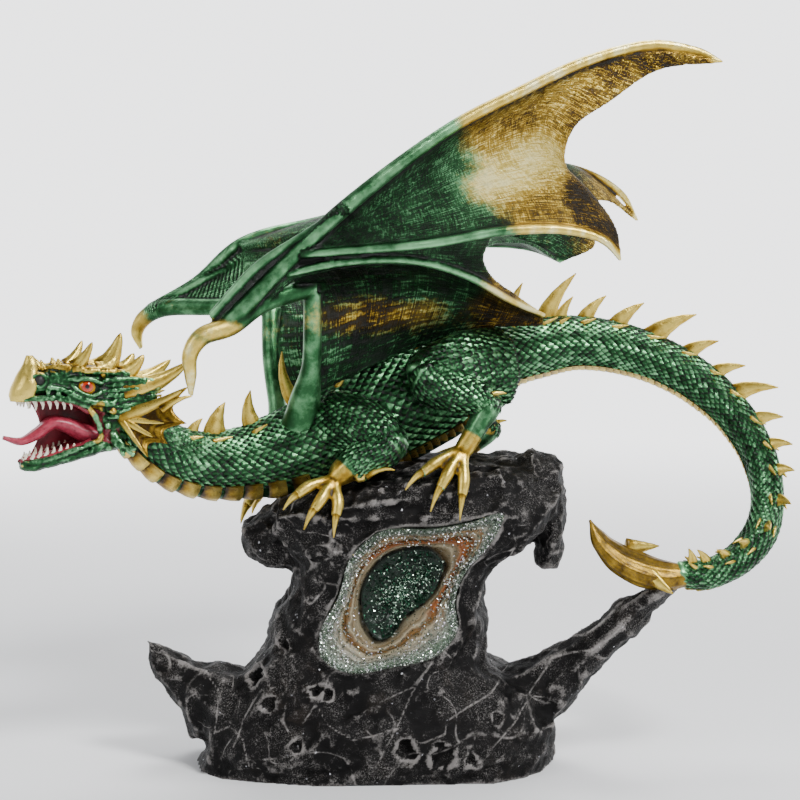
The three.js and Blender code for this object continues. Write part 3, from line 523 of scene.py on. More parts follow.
def wing_paint(name):
    """Smooth pearly bones and a dark membrane that is dry-brushed over its fine crossed scratches."""
    mat, tree, shader = material(name)
    p = Paint(tree)
    bone = p.value("bone")
    relief = p.span(p.value("relief"), -0.5, 0.45)
    mottled = p.noise(11, 5, 0.6)
    flecks = p.noise(2.2, 4, 0.7)
    grain = p.noise(0.9, 4, 0.7)
    along = wing_lines(p, 0.06, 1.25, 1.0, 0.4)
    across = wing_lines(p, 1.15, 0.10, 7.0, 0.4)
    fine = wing_lines(p, 0.3, 1.9, 13.0, 0.3)
    hatch = p.sum(p.sum(p.times(along, 0.45), p.times(across, 0.33)), p.times(fine, 0.22))
    light = p.ramp(hatch, (0.50, 0.0), (0.58, 1.0))
    deep = p.ramp(hatch, (0.41, 1.0), (0.50, 0.0))
    # `shade` lifts or lowers the membrane; on the near wing it holds painted highlight and painted shadow besides the
    # paint's own tone.
    tone = p.sum(p.sway(mottled, 1.0), p.times(p.value("shade"), 0.55))
    membrane_lift = p.sum(p.sum(0.50, tone), p.times(p.sum(light, -0.4), 0.55), clamp=True)
    bone_lift = p.sum(p.sum(relief, -0.07), p.sway(mottled, 1.2), clamp=True)
    ribs = p.value("ribs")
    combed = p.times(p.sum(p.sum(p.times(p.value("u"), 2.3), p.value("slope")), 0.0, "SINE"), ribs)
    lift = p.sum(p.times(bone_lift, bone), p.times(membrane_lift, p.rest(bone)))
    lift = p.sum(lift, p.times(combed, 0.28), clamp=True)
    green = p.ramp(lift, (0.0, WASH), (0.3, GREEN_DEEP), (0.6, GREEN_MID), (1.0, GREEN_MINT))
    gold = p.ramp(lift, (0.0, (0.012, 0.008, 0.003)), (0.22, GOLD_DEEP), (0.5, GOLD_MID), (0.85, GOLD_PALE),
                  (1.0, (0.86, 0.78, 0.38)))
    edge = p.sum(p.value("gold"), p.sway(flecks, 1.1))
    colour = p.blend(p.span(edge, 0.2, 0.8), green, gold)
    dark = p.times(p.sum(deep, p.ramp(flecks, (0.30, 1.0), (0.43, 0.0)), "MAXIMUM"),
                   p.span(bone, 0.0, 0.8, 0.9, 0.0))
    # Fewer dark flecks where `shade` is high, which keeps the painted highlight patches clean.
    dark = p.times(dark, p.span(p.value("shade"), -0.8, 1.2, 1.0, 0.35))
    dark = p.sum(dark, p.ramp(p.sum(relief, p.sway(grain, 0.6)), (0.1, 1.0), (0.3, 0.0)), "MAXIMUM")
    colour = p.blend(p.times(dark, 0.92), colour, WASH)
    p.link(colour, shader.inputs["Base Color"])
    p.link(p.span(dark, 0.0, 1.0, 0.85, 0.05), shader.inputs["Metallic"])
    p.link(p.sum(p.span(grain, 0.3, 0.7, 0.26, 0.42), p.times(dark, 0.2)), shader.inputs["Roughness"])
    height = p.sum(p.times(grain, 0.3), p.times(hatch, p.span(bone, 0.0, 1.0, 3.2, 0.2)))
    height = p.sum(height, p.times(combed, 0.8))
    p.link(p.bump(height, 0.85, 0.55), shader.inputs["Normal"])
    return mat


def finish_piece(obj, mat, node=None):
    obj.data.materials.clear()
    obj.data.materials.append(mat)
    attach(obj, "root")
    if node:
        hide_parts(node)


# ---- the dragon's measurements -------------------------------------------------------------------

# The spine from the nape to the tail tip: x, y, z, half width, half height.
SPINE = [
    [-118, -46, 177, 11, 11.5], [-108, -41, 166, 12, 12.5], [-97, -35, 157, 13, 14],
    [-82, -28, 152, 14, 15], [-65, -20, 152, 15.5, 16.5], [-44, -13, 156, 18, 20],
    [-22, -8, 164, 20, 23.5], [3, -2, 175.5, 21, 28], [28, 4, 187, 20, 26.5],
    [54, 10, 201, 18, 19], [78, 15, 206, 14.5, 15], [102, 19, 209, 12.5, 13],
    [125, 21, 206, 11.8, 12.2], [146, 20, 199, 11, 11.5], [165, 17, 188, 10.2, 10.8],
    [181, 12, 173, 9.2, 9.5], [192, 5, 155, 8.4, 8.6], [196, -4, 136, 8, 8],
    [192, -12, 118, 7.8, 7.8], [179, -18, 104, 7.6, 7.7], [162, -21, 97, 7.2, 7.3], [148, -23, 98, 6, 6],
]
SPINE_UP = [
    [0, -0.2, 1], [0.2, -0.1, 1], [0.2, 0, 1], [0.1, 0, 1], [0, 0, 1], [-0.2, 0, 1], [-0.4, 0, 1],
    [-0.4, 0, 1], [-0.4, 0, 1], [-0.2, 0, 1], [0, 0, 1], [0.1, 0, 1], [0.3, 0, 1], [0.5, 0, 1],
    [0.8, -0.1, 0.8], [1, -0.3, 0.5], [1, -0.6, 0.2], [0.7, -1, 0], [0.1, -1, 0.3], [-0.4, -0.8, 0.7],
    [-0.1, -0.4, 1], [0, -0.1, 1],
]
SPINE_LAST = len(SPINE) - 1
# Thorns along the back: place on the spine in stations, height, base length, lean to the tail.
BACK_THORNS = [
    [2.3, 8, 8, 0.3], [3.2, 16, 14, 0.25], [4.4, 17, 11, 0.1], [5.6, 26, 9, 0.1], [6.5, 16, 10, 0.2],
    [7.3, 14, 10, 0.25], [8.1, 14, 10, 0.3], [9.0, 15, 9, 0.35], [9.7, 18, 9, 0.5], [10.4, 20, 12, 1.0],
    [10.7, 10, 8, 0.8], [11.15, 12, 10, 0.9], [11.8, 13, 11, 0.9], [12.6, 17, 13, 1.0], [13.4, 12, 10, 0.9],
    [14.1, 11, 9, 0.9], [14.7, 16, 11, 0.8], [15.4, 11, 9, 0.6], [16.0, 10, 8, 0.5], [16.6, 9, 8, 0.4],
    [17.3, 9, 8, 0.4], [18.0, 9, 8, 0.4], [18.7, 9, 8, 0.4], [19.3, 8, 7, 0.5], [19.9, 8, 7, 0.5],
    [20.5, 7, 7, 0.5],
]
# Legs: stations down to the foot, then toes as knuckle and claw tip, and the back claw.
LEGS = [
    dict(leg=[[-20, -16, 170, 15, 17], [-6, -27, 170, 12, 14], [6, -33, 163, 10.5, 11], [-5, -35, 157, 9, 9],
              [-15, -36, 150, 6.5, 6.5], [-19, -38, 146, 5, 4.5]],
         toes=[[[-32, -44, 143], [-43, -49, 133]], [[-25, -47, 138], [-33, -52, 124]],
               [[-17, -46, 136], [-19, -51, 120]]],
         heel=[[-4, -38, 148], [10, -40, 151]]),
    dict(leg=[[62, -4, 198, 15, 19], [46, -16, 199, 13, 17], [26, -25, 194, 10, 12], [38, -28, 188, 9, 9.5],
              [55, -29, 183, 6.5, 7], [50, -31, 172, 5.2, 5.2], [43, -34, 160, 4.8, 4.8]],
         toes=[[[29, -40, 154], [15, -45, 142]], [[35, -43, 149], [27, -48, 132]],
               [[43, -43, 146], [41, -48, 128]]],
         heel=[[53, -29, 184], [64, -28, 187]]),
    dict(leg=[[-30, 6, 162, 13, 15], [-36, 18, 156, 10, 11], [-34, 28, 148, 8, 8], [-46, 29, 142, 6, 6],
              [-54, 27, 137, 4.8, 4.8]],
         toes=[[[-63, 20, 131], [-69, 16, 117]], [[-64, 28, 131], [-70, 27, 117]],
               [[-60, 35, 131], [-65, 38, 119]]],
         heel=[[-46, 30, 138], [-38, 33, 140]]),
    dict(leg=[[60, 18, 194, 15, 17], [46, 30, 188, 12, 14], [32, 36, 178, 9, 10], [46, 37, 170, 7, 7.5],
              [60, 35, 165, 5, 5.5], [52, 33, 157, 4.8, 4.8], [44, 32, 153, 4.8, 4.5]],
         toes=[[[31, 28, 149], [20, 25, 143]], [[33, 35, 149], [22, 36, 142]], [[38, 41, 148], [30, 46, 139]]],
         heel=[[58, 34, 164], [68, 36, 168]]),
]
LEG_UP = (-0.6, 0, 1)

HEAD_ORIGIN = vec(-119, -45, 178)
HEAD_YAW = math.radians(25)
HEAD_FORWARD = vec(-math.cos(HEAD_YAW), -math.sin(HEAD_YAW), 0)
HEAD_NEAR = vec(math.sin(HEAD_YAW), -math.cos(HEAD_YAW), 0)
# Horns and brow spikes in the head's frame: base, tip, width, bluntness, whether the far side has one too.
HORNS = [
    ([39, 4.5, 23.4], [40.5, 5, 27.6], 5, 0.4, True), ([32, 5, 24.5], [32.5, 6, 28], 5.5, 0.5, True),
    ([25, 7, 23.5], [17, 9, 35.4], 8, 0.4, True), ([9.5, 2.5, 22.5], [2, 4.5, 39.3], 12, 0.36, False),
    ([14, 9, 21.5], [6, 10.5, 28.4], 10, 0.35, True), ([2, 6, 19], [-8, 8, 28.8], 10, 0.5, True),
    ([3, 9.5, 12.5], [-28, 13, 25], 13, 0.4, True),
]
FRILL_ROOT = vec(5, 11, -0.5)
FRILL_TIPS = [vec(-25.5, 21, 14), vec(-23.6, 23.5, -3), vec(-13.6, 25, -12), vec(-4.6, 24, -18)]


def in_head(p, cheek=1):
    p = np.asarray(p, dtype=float)
    return (HEAD_ORIGIN + p[..., :1] * HEAD_FORWARD + p[..., 1:2] * HEAD_NEAR * cheek
            + p[..., 2:3] * vec(0, 0, 1))


def spine_frame(stations):
    """Middle, direction, side and up of the spine, and its half sizes, at places counted in stations."""
    t = np.atleast_1d(np.asarray(stations, dtype=float)) / SPINE_LAST
    s = np.asarray(SPINE, dtype=float)
    centre, forward = along_curve(s[:, :3], t)
    side = unit(np.cross(forward, spread(np.asarray(SPINE_UP, dtype=float), t)))
    upward = unit(np.cross(side, forward))
    return centre, forward, side, upward, spread(s[:, 3:5], t)


def on_trunk(stations, angles, lift=0.0):
    """Points on the trunk, and the way out of it; angle 0 is the near side, a quarter turn the back."""
    centre, forward, side, upward, half = spine_frame(stations)
    c, s = np.cos(angles)[:, None], np.sin(angles)[:, None]
    keel = 1 + 0.05 * np.cos(4 * angles)[:, None]
    out = unit(side * c / half[:, :1] + upward * s / half[:, 1:])
    return centre + side * c * half[:, :1] * keel + upward * s * half[:, 1:] * keel + out * lift, out, forward


# ---- dragon: skin --------------------------------------------------------------------------------

def leg_shell(shell, leg):
    """A muscled leg with bony toes; the claws are separate."""
    stations = leg["leg"]
    ankle = stations[-1][:3]

    def muscled(angle, t):
        return 1 + 0.05 * np.cos(3 * angle + 5 * t) + 0.03 * np.cos(7 * angle - 9 * t)
    add_tube(shell, stations, up=LEG_UP, sides=28, steps=8, swell=muscled)
    for knuckle, claw in leg["toes"]:
        bend = vec(*knuckle) * 0.55 + vec(*claw) * 0.45 + vec(0, -0.8, 1.2)
        first = vec(*ankle) * 0.45 + vec(*knuckle) * 0.55 + vec(0, -0.4, 1.0)
        add_tube(shell, [[*ankle, 3.4, 3.2], [*first, 2.5, 2.5], [*knuckle, 3.1, 3.1], [*bend, 2.4, 2.4]],
                 sides=14, steps=6)
    heel, tip = leg["heel"]
    inside = vec(*heel) * 0.7 + vec(*ankle) * 0.3
    add_tube(shell, [[*inside, 3, 3], [*heel, 2.7, 2.7]], sides=12, steps=5)


def head_tube(shell, stations, **options):
    """Stations in the head's frame: forward, up, half width, half height."""
    placed = [[*in_head([f, 0, u]), w, h] for f, u, w, h in stations]
    add_tube(shell, placed, **options)


def head_line(shell, points, cheek=1, **options):
    """A bead along points in the head's frame: forward, near, up, half width, half height."""
    add_tube(shell, [[*in_head(p[:3], cheek), *p[3:]] for p in points], **options)


def head_skin():
    shell = Shell()

    def boxy(angle, t):
        return 1 + 0.06 * np.cos(4 * angle + math.pi)
    head_tube(shell, [[-8, 5, 9, 10], [3, 9, 12, 13.2], [13, 12.5, 12.8, 12.4], [24, 16, 11.4, 8.8],
                      [34, 16.8, 9.6, 7.6], [41, 16.8, 8.0, 7.0], [46, 15.2, 6.0, 5.6], [49, 13.4, 3.8, 3.8]],
              sides=40, steps=8, swell=boxy)
    head_tube(shell, [[-6, 0, 9, 11], [4, -8, 10, 8.2], [14, -13.6, 10.2, 4], [25, -17.0, 9.4, 3.4],
                      [36, -20, 7.8, 3], [44, -21.8, 6, 2.9], [49.4, -21.4, 3.2, 2.3]], sides=32, steps=8)
    head_tube(shell, [[-4, -2, 9, 14], [3, -1, 10.6, 13], [9, -1.6, 11, 11.4], [12.6, -2, 10.6, 9.6]],
              sides=32, steps=6)
    for cheek in (1, -1):
        def bead(*points, sides=12, steps=6):
            head_line(shell, points, cheek, sides=sides, steps=steps)
        # brow ridge, eyelids, cheek bone, lips, nostril rim
        bead([41, 4.4, 23, 1.2, 1.2], [33, 6, 24, 1.8, 1.6], [26, 8.4, 22.8, 2, 1.8], [18, 10.6, 22, 2.3, 1.9],
             [8, 10.6, 21.4, 2.2, 1.8], [0, 10, 19.5, 1.8, 1.6])
        bead([28.6, 9.6, 18.2, 1.0, 0.9], [24, 11.8, 18.4, 1.3, 1.1], [18.6, 12.9, 18.2, 1.5, 1.2],
             [13.4, 12.9, 15.8, 1.3, 1.1])
        bead([27.4, 10.4, 15.6, 0.9, 0.8], [23.4, 12.4, 12.2, 1.1, 0.9], [18.6, 13.1, 10.6, 1.2, 1],
             [13.8, 12.9, 12.6, 1.2, 1])
        bead([38, 8.4, 15.2, 1.3, 1.1], [31, 9.8, 13.6, 1.6, 1.3], [25, 11.4, 10.4, 1.7, 1.4],
             [17, 12.6, 7.6, 1.9, 1.5], [8, 12.4, 6.6, 1.8, 1.5])
        bead([52, 2.2, 9.6, 1.1, 1.1], [47, 5.4, 9.6, 1.2, 1.2], [40, 7.6, 9.8, 1.3, 1.3], [33, 9.2, 9.6, 1.4, 1.3],
             [26, 10.4, 8.0, 1.5, 1.3], [21, 11.2, 6.0, 1.4, 1.3], [17.4, 11.6, 2.0, 1.3, 1.2],
             [15.0, 11.4, -3.6, 1.2, 1.2], [14.2, 10.8, -9.4, 1.3, 1.3], [20, 10.4, -12.4, 1.2, 1.2],
             [29, 9.2, -15.6, 1.2, 1.2], [38, 7.6, -18.6, 1.2, 1.2], [45, 4.9, -20, 1.1, 1.1],
             [49.6, 1.2, -20, 1.1, 1.1], steps=5)
        ring = [[41.6 + 3.1 * math.cos(a) * 0.95, 7.2 - 0.5 * math.cos(a), 18.1 + 3.0 * math.sin(a), 0.95, 0.95]
                for a in np.linspace(0, 2 * math.pi, 13)]
        bead(*ring, sides=10, steps=3)
        # nodules on the cheek and along the brow, and the flutes that sweep back to the great horn
        for f, n, u, r in ((8.8, 12.2, 3.2, 2.0), (5, 12, 8, 1.8), (11, 11.6, -3.6, 1.5), (8, 11.4, -8, 1.7),
                           (29, 8.4, 21.2, 1.3), (23.5, 10.4, 20.8, 1.3), (34.5, 7.6, 20.6, 1.2),
                           (38, 8.6, 12.6, 1.2), (33.4, 9.6, 11.6, 1.1), (28.8, 10.6, 9.8, 1.1),
                           (4.5, 11, -12, 1.8), (-1, 11.6, -6, 1.8), (10, 9.8, -14.6, 1.4)):
            add_ball(shell, in_head([f, n, u], cheek), r)
        for k in range(8):
            high = 17.5 - 2.5 * k
            head_line(shell, [[14.5 - 0.5 * k, 11.6, high, 0.7, 0.6], [7 - 0.6 * k, 12.6, high + 0.4, 1.2, 0.95],
                              [-4 - 0.7 * k, 13.0, high + 0.2 + 0.4 * k, 1.1, 0.9],
                              [-13 - 0.5 * k, 13.4, high - 0.6 + 0.7 * k, 0.6, 0.5]], cheek, sides=8, steps=5)
        for k, (f, n, u) in enumerate([(1, 20, -17.2), (5, 16.5, -17.6), (-1.5, 15, -15)]):
            head_line(shell, [[8, 10.6, -7.5 - k, 2.0, 1.8], [5.5, 13.5, -12 - k * 0.5, 1.6, 1.5], [f, n, u, 0.8, 0.8]],
                      cheek, sides=10, steps=5)
    skin = fuse(shell, "dragon_head", HEAD_GRAIN, 3)
    points = read_points(skin)
    f, n, u = head_place(points)
    creases = 1 - np.abs(noise(points * vec(1, 1, 1.25), 3.4, 300)) * 2
    fine = 1 - np.abs(noise(points, 1.7, 301)) * 2
    calm = smoothstep(4.6, 6.2, np.linalg.norm(np.column_stack([f - 19.6, n - 12.5, u - 14.5]), axis=1))
    calm *= smoothstep(3.6, 4.8, np.linalg.norm(np.column_stack([f - 41.6, n - 7.5, u - 18]), axis=1))
    write_points(skin, points + read_normals(skin) * ((creases * 0.34 + fine * 0.16) * calm)[:, None])
    relief = mark_relief(skin, 4)
    lip = np.exp(-((np.hypot(f - 15.5, (u + 2) * 0.6) - 4.6) / 1.6) ** 2) * (f > 13) * (f < 22) * (n > 10)
    brow = smoothstep(19.6, 22.5, u) * smoothstep(-4, 2, f)
    golden = 0.75 * brow * (0.4 + 0.6 * smoothstep(-0.05, 0.1, relief))
    golden = np.maximum(golden, lip * 0.9)
    golden = np.maximum(golden, smoothstep(0.1, 0.32, relief) * smoothstep(-18.5, -20.5, u) * 0.7)
    golden = np.maximum(golden, 0.62 * smoothstep(1.5, 0.6, np.linalg.norm(
        np.column_stack([f - 8.8, n - 13.4, u - 3.2]), axis=1) / 1.6))
    golden = np.maximum(golden, 0.5 * smoothstep(-6, -14, f) * smoothstep(2, 8, u))
    mouth = inside_mouth(f, n, u)
    give(skin, "gold", golden + 0.2 * noise(points, 4, 303))
    give(skin, "wash", np.full(len(points), 0.8))
    give(skin, "shade", 0.25 * noise(points, 7, 302))
    give(skin, "mouth", mouth)
    return skin


def head_place(points):
    """Forward, distance from the middle plane and up, in the head's frame."""
    head = points - HEAD_ORIGIN
    return head @ HEAD_FORWARD, np.abs(head @ HEAD_NEAR), head[:, 2]


def inside_mouth(f, n, u):
    """1 on the faces that look into the mouth."""
    half = np.interp(f, [10, 26, 40, 47, 51], [10.2, 9.6, 6.9, 4.4, 1.5])
    top = np.interp(f, [10, 16, 21, 26, 34, 52], [2, 4, 6, 8, 10, 10])
    low = np.interp(f, [10, 14, 20, 29, 38, 45, 50], [-12, -11, -13, -16, -19, -20.4, -20.4])
    return ((f > 5) & (n < half) & (u < top) & (u > low)).astype(float)


def dragon_skin():
    shell = Shell()
    add_tube(shell, SPINE, up=SPINE_UP, sides=56, steps=12, swell=lambda a, t: 1 + 0.05 * np.cos(4 * a))
    for leg in LEGS:
        leg_shell(shell, leg)
    return fuse(shell, "dragon_skin", SKIN_GRAIN, 5)


def skin_values(skin):
    """Where the skin is gold: round the ankle, the knuckles and the heel."""
    points = read_points(skin)
    mark_relief(skin, 5)
    gold = np.zeros(len(points))
    for leg in LEGS:
        spots = [(knuckle, 6, 9) for knuckle, _ in leg["toes"]]
        spots += [(leg["leg"][-1][:3], 7, 13), (leg["heel"][0], 4, 7)]
        for spot, full, none in spots:
            away = np.linalg.norm(points - vec(*spot), axis=1)
            gold = np.maximum(gold, 1 - smoothstep(full, none, away))
    give(skin, "gold", gold)
    give(skin, "wash", np.full(len(points), 0.5))
    give(skin, "shade", np.zeros(len(points)))


# Rows lie this share of a scale's width apart.
SCALE_PITCH = 0.66


def scale_plates(shell, points, out, along, width, length, shade_values):
    """Closed keeled plates lying on the skin, each with its tip raised clear of the next row."""
    across = unit(np.cross(out, along))
    along = unit(np.cross(across, out))
    w, l = width[:, None], length[:, None]
    corners = [
        points - along * l * 0.55 - across * w * 0.36 - out * 0.05,
        points - along * l * 0.55 + across * w * 0.36 - out * 0.05,
        points + along * l * 0.05 - across * w * 0.5 + out * w * 0.04,
        points + along * l * 0.05 + across * w * 0.5 + out * w * 0.04,
        points + along * l * 0.02 + out * w * 0.24,
        points + along * l * 0.62 + out * w * 0.16,
        points - out * 0.7 + along * l * 0.05,
    ]
    heights = [-0.5, -0.5, 0.0, 0.0, 0.5, 0.75, -0.6]
    block = np.stack(corners, axis=1)
    faces = [(0, 4, 1), (0, 2, 4), (1, 4, 3), (2, 5, 4), (3, 4, 5), (1, 6, 0), (0, 6, 2), (2, 6, 5), (5, 6, 3),
             (3, 6, 1)]
    count = len(points)
    every = (np.arange(count)[:, None, None] * 7 + np.asarray(faces)[None]).reshape(-1, 3)
    shell.add(block.reshape(-1, 3), every.tolist(), relief=np.tile(heights, count),
              shade=np.repeat(shade_values, 7), gold=0.0, wash=0.6)


def seat_on(tree, points, out, reach):
    """Moves each point along `out` onto the skin; drops those that are buried or hang clear of it."""
    placed = np.array(points)
    normal = np.array(out)
    keep = np.zeros(len(points), dtype=bool)
    for i, (p, d) in enumerate(zip(points * MM, out)):
        start = Vector(p + d * reach * MM)
        hit, face_normal, _, distance = tree.ray_cast(start, Vector(-d), 2 * reach * MM)
        if hit is not None and distance > reach * 0.35 * MM:
            keep[i] = True
            placed[i] = np.array(hit) / MM
            normal[i] = np.array(face_normal)
    return placed, normal, keep


def segment_lengths(stations):
    return np.linalg.norm(np.diff(np.asarray(stations, dtype=float)[:, :3], axis=0), axis=1)


def round_angles(count, row):
    """Even turns round a limb; every second row is shifted by half a scale."""
    return (np.arange(count) + 0.5 * (row % 2)) * 2 * math.pi / count


def trunk_scale_rows():
    """Rows of scales from the nape to the tail tip: places, ways out, way along, scale width."""
    s, row = 0.45, 0
    lengths = segment_lengths(SPINE)
    while s < SPINE_LAST - 0.3:
        half = spine_frame(s)[4][0]
        width = 1.9 + 0.105 * half.mean()
        angles = round_angles(int(2 * math.pi * math.sqrt((half ** 2).mean()) / width), row)
        belly = np.abs((angles - 1.5 * math.pi + math.pi) % (2 * math.pi) - math.pi)
        angles = angles[belly > (0.72 if s < 6 else 0.55)]
        points, out, forward = on_trunk(np.full(len(angles), s), angles)
        yield points, out, forward, width
        row += 1
        s += SCALE_PITCH * width / lengths[min(int(s), len(lengths) - 1)]


def leg_scale_rows(leg, row):
    """Rows of scales down a leg, as for the trunk."""
    stations = np.asarray([q[:5] for q in leg["leg"]], dtype=float)
    last = len(stations) - 1
    lengths = segment_lengths(stations)
    s = 0.1
    while s < last * 0.72:
        t = s / last
        half = spread(stations[:, 3:5], [t])[0]
        width = 2.1 + 0.07 * half.mean()
        angles = round_angles(max(int(2 * math.pi * half.mean() / width), 6), row)
        centre = centripetal(stations[:, :3], [t])[0]
        ahead = unit(centripetal(stations[:, :3], [t + 0.01])[0] - centre)
        side = unit(np.cross(ahead, vec(*LEG_UP)))
        upward = np.cross(side, ahead)
        c, d = np.cos(angles)[:, None], np.sin(angles)[:, None]
        yield centre + c * side * half[0] + d * upward * half[1], c * side + d * upward, ahead, width
        row += 1
        s += SCALE_PITCH * width / lengths[min(int(s), last - 1)]


def dragon_scales(skin):
    rows = list(trunk_scale_rows())
    for leg in LEGS:
        rows += list(leg_scale_rows(leg, len(rows)))
    points, out, way = [np.concatenate([np.broadcast_to(row[k], row[0].shape) for row in rows])
                        for k in range(3)]
    width = np.concatenate([np.full(len(row[0]), row[3]) for row in rows])
    tree = BVHTree.FromObject(skin, bpy.context.evaluated_depsgraph_get())
    placed, normal, keep = seat_on(tree, points, out, 3.0)
    keep &= (placed - HEAD_ORIGIN) @ HEAD_FORWARD < 2
    out = unit(normal * 0.8 + out * 0.2)
    shades = rng.uniform(-0.35, 0.45, len(points)) + 0.35 * noise(points, 14, 5)
    width = width * rng.uniform(0.9, 1.1, len(points))
    shell = Shell()
    width = width[keep]
    scale_plates(shell, placed[keep], out[keep], way[keep], width * 1.08, width * 1.15, shades[keep])
    return shell.object("dragon_scales", smooth=False)


# ---- dragon: gold parts --------------------------------------------------------------------------

def add_plate(shell, station, shift_back, shift_front, reach, thick, lift, columns=9, values=None):
    """One plate across the belly, overlapping the next: a closed slab with a rolled front edge."""
    centre, forward, side, upward, half = [x[0] for x in spine_frame(station)]
    angles = np.linspace(-reach, reach, columns)
    profile = [(shift_back, 0.5 * lift), (shift_back * 0.4 + shift_front * 0.6, lift + thick * 0.75),
               (shift_front * 0.95, lift + thick), (shift_front, lift + thick * 0.6), (shift_front * 0.8, -1.5),
               (shift_back, -2.0)]
    points = []
    for shift, rise in profile:
        for a in angles:
            taper = 1 - 0.35 * (abs(a) / reach) ** 3
            points.append(centre + forward * (shift - 1.2 * (a / reach) ** 2)
                          + side * math.sin(a) * (half[0] + rise * taper)
                          - upward * math.cos(a) * (half[1] + rise * taper))
    faces = []
    rows = len(profile)
    for r in range(rows):
        n = (r + 1) % rows
        for c in range(columns - 1):
            faces.append((r * columns + c, n * columns + c, n * columns + c + 1, r * columns + c + 1))
    faces.append(tuple(r * columns for r in range(rows)))
    faces.append(tuple(r * columns + columns - 1 for r in reversed(range(rows))))
    rise = [-0.4, 0.4, 0.8, 0.5, -0.8, -0.8]
    shell.add(points, faces, relief=np.repeat(rise, columns), gold=1.0, wash=0.6,
              shade=float(rng.uniform(-0.2, 0.3)))


def frill_web(shell, cheek):
    """Webbing between the collar's ribs, scalloped at its edge."""
    across, down = 8, 12
    for upper, lower in zip(FRILL_TIPS, FRILL_TIPS[1:]):
        grids = []
        for lift in (0.7, -0.7):
            grid = []
            for i in range(down + 1):
                for j in range(across + 1):
                    b = j / across
                    reach = 1 - 0.24 * math.sin(math.pi * b) ** 0.8
                    a = 0.12 + 0.88 * i / down * reach
                    p = FRILL_ROOT + (upper * (1 - b) + lower * b - FRILL_ROOT) * a
                    p = p + vec(0, (lift - 1.2 * math.sin(math.pi * b) * a), 0)
                    grid.append(in_head(p, cheek))
            grids.append(np.array(grid))
        relief = np.tile([-0.55 + 0.8 * i / down + 0.2 * math.sin(2.6 * i) for i in range(down + 1)
                          for _ in range(across + 1)], 2)
        gilt = np.tile([0.25 + 0.75 * min(1, i / 5) for i in range(down + 1) for _ in range(across + 1)], 2)
        shell.add(np.vstack(grids), slab_faces(down, across), relief=relief, gold=gilt, wash=0.8, shade=-0.35)


def snout_plate(shell):
    """The pale plate that caps the snout and rises into the nose horn."""
    rows = [(8.2, 5.2, 53.6, 45.8), (11, 6.8, 54.3, 44.6), (14, 7.4, 53.7, 43.8), (17, 7.3, 52.4, 43.4),
            (20, 6.4, 50.8, 43.0), (23, 4.8, 49.0, 42.6), (25.5, 3.0, 47.6, 42.4), (28, 1.9, 46.6, 43.4),
            (29.4, 0.9, 46.0, 44.6)]
    fine = np.linspace(0, 1, 33)
    table = spread(np.asarray(rows, dtype=float), fine)
    across = 17
    outer, inner = [], []
    for high, wide, front, back in table:
        for a in np.linspace(-math.pi / 2, math.pi / 2, across):
            outer.append([back + (front - back) * math.cos(a) ** 0.8, wide * math.sin(a) * 1.12, high])
            inner.append([back - 1.5 + (front - back) * 0.5 * math.cos(a), wide * math.sin(a) * 0.7, high])
    outer, inner = in_head(np.array(outer)), in_head(np.array(inner))
    outer = outer + 0.22 * noise(outer, 3.5, 330)[:, None] * HEAD_FORWARD
    faces = slab_faces(len(table) - 1, across - 1, flip=True)
    pale = np.concatenate([0.6 + 0.3 * noise(outer, 5, 331), np.full(len(inner), -0.2)])
    shell.add(np.vstack([outer, inner]), faces, relief=pale, gold=1.0, wash=0.3, shade=0.55)


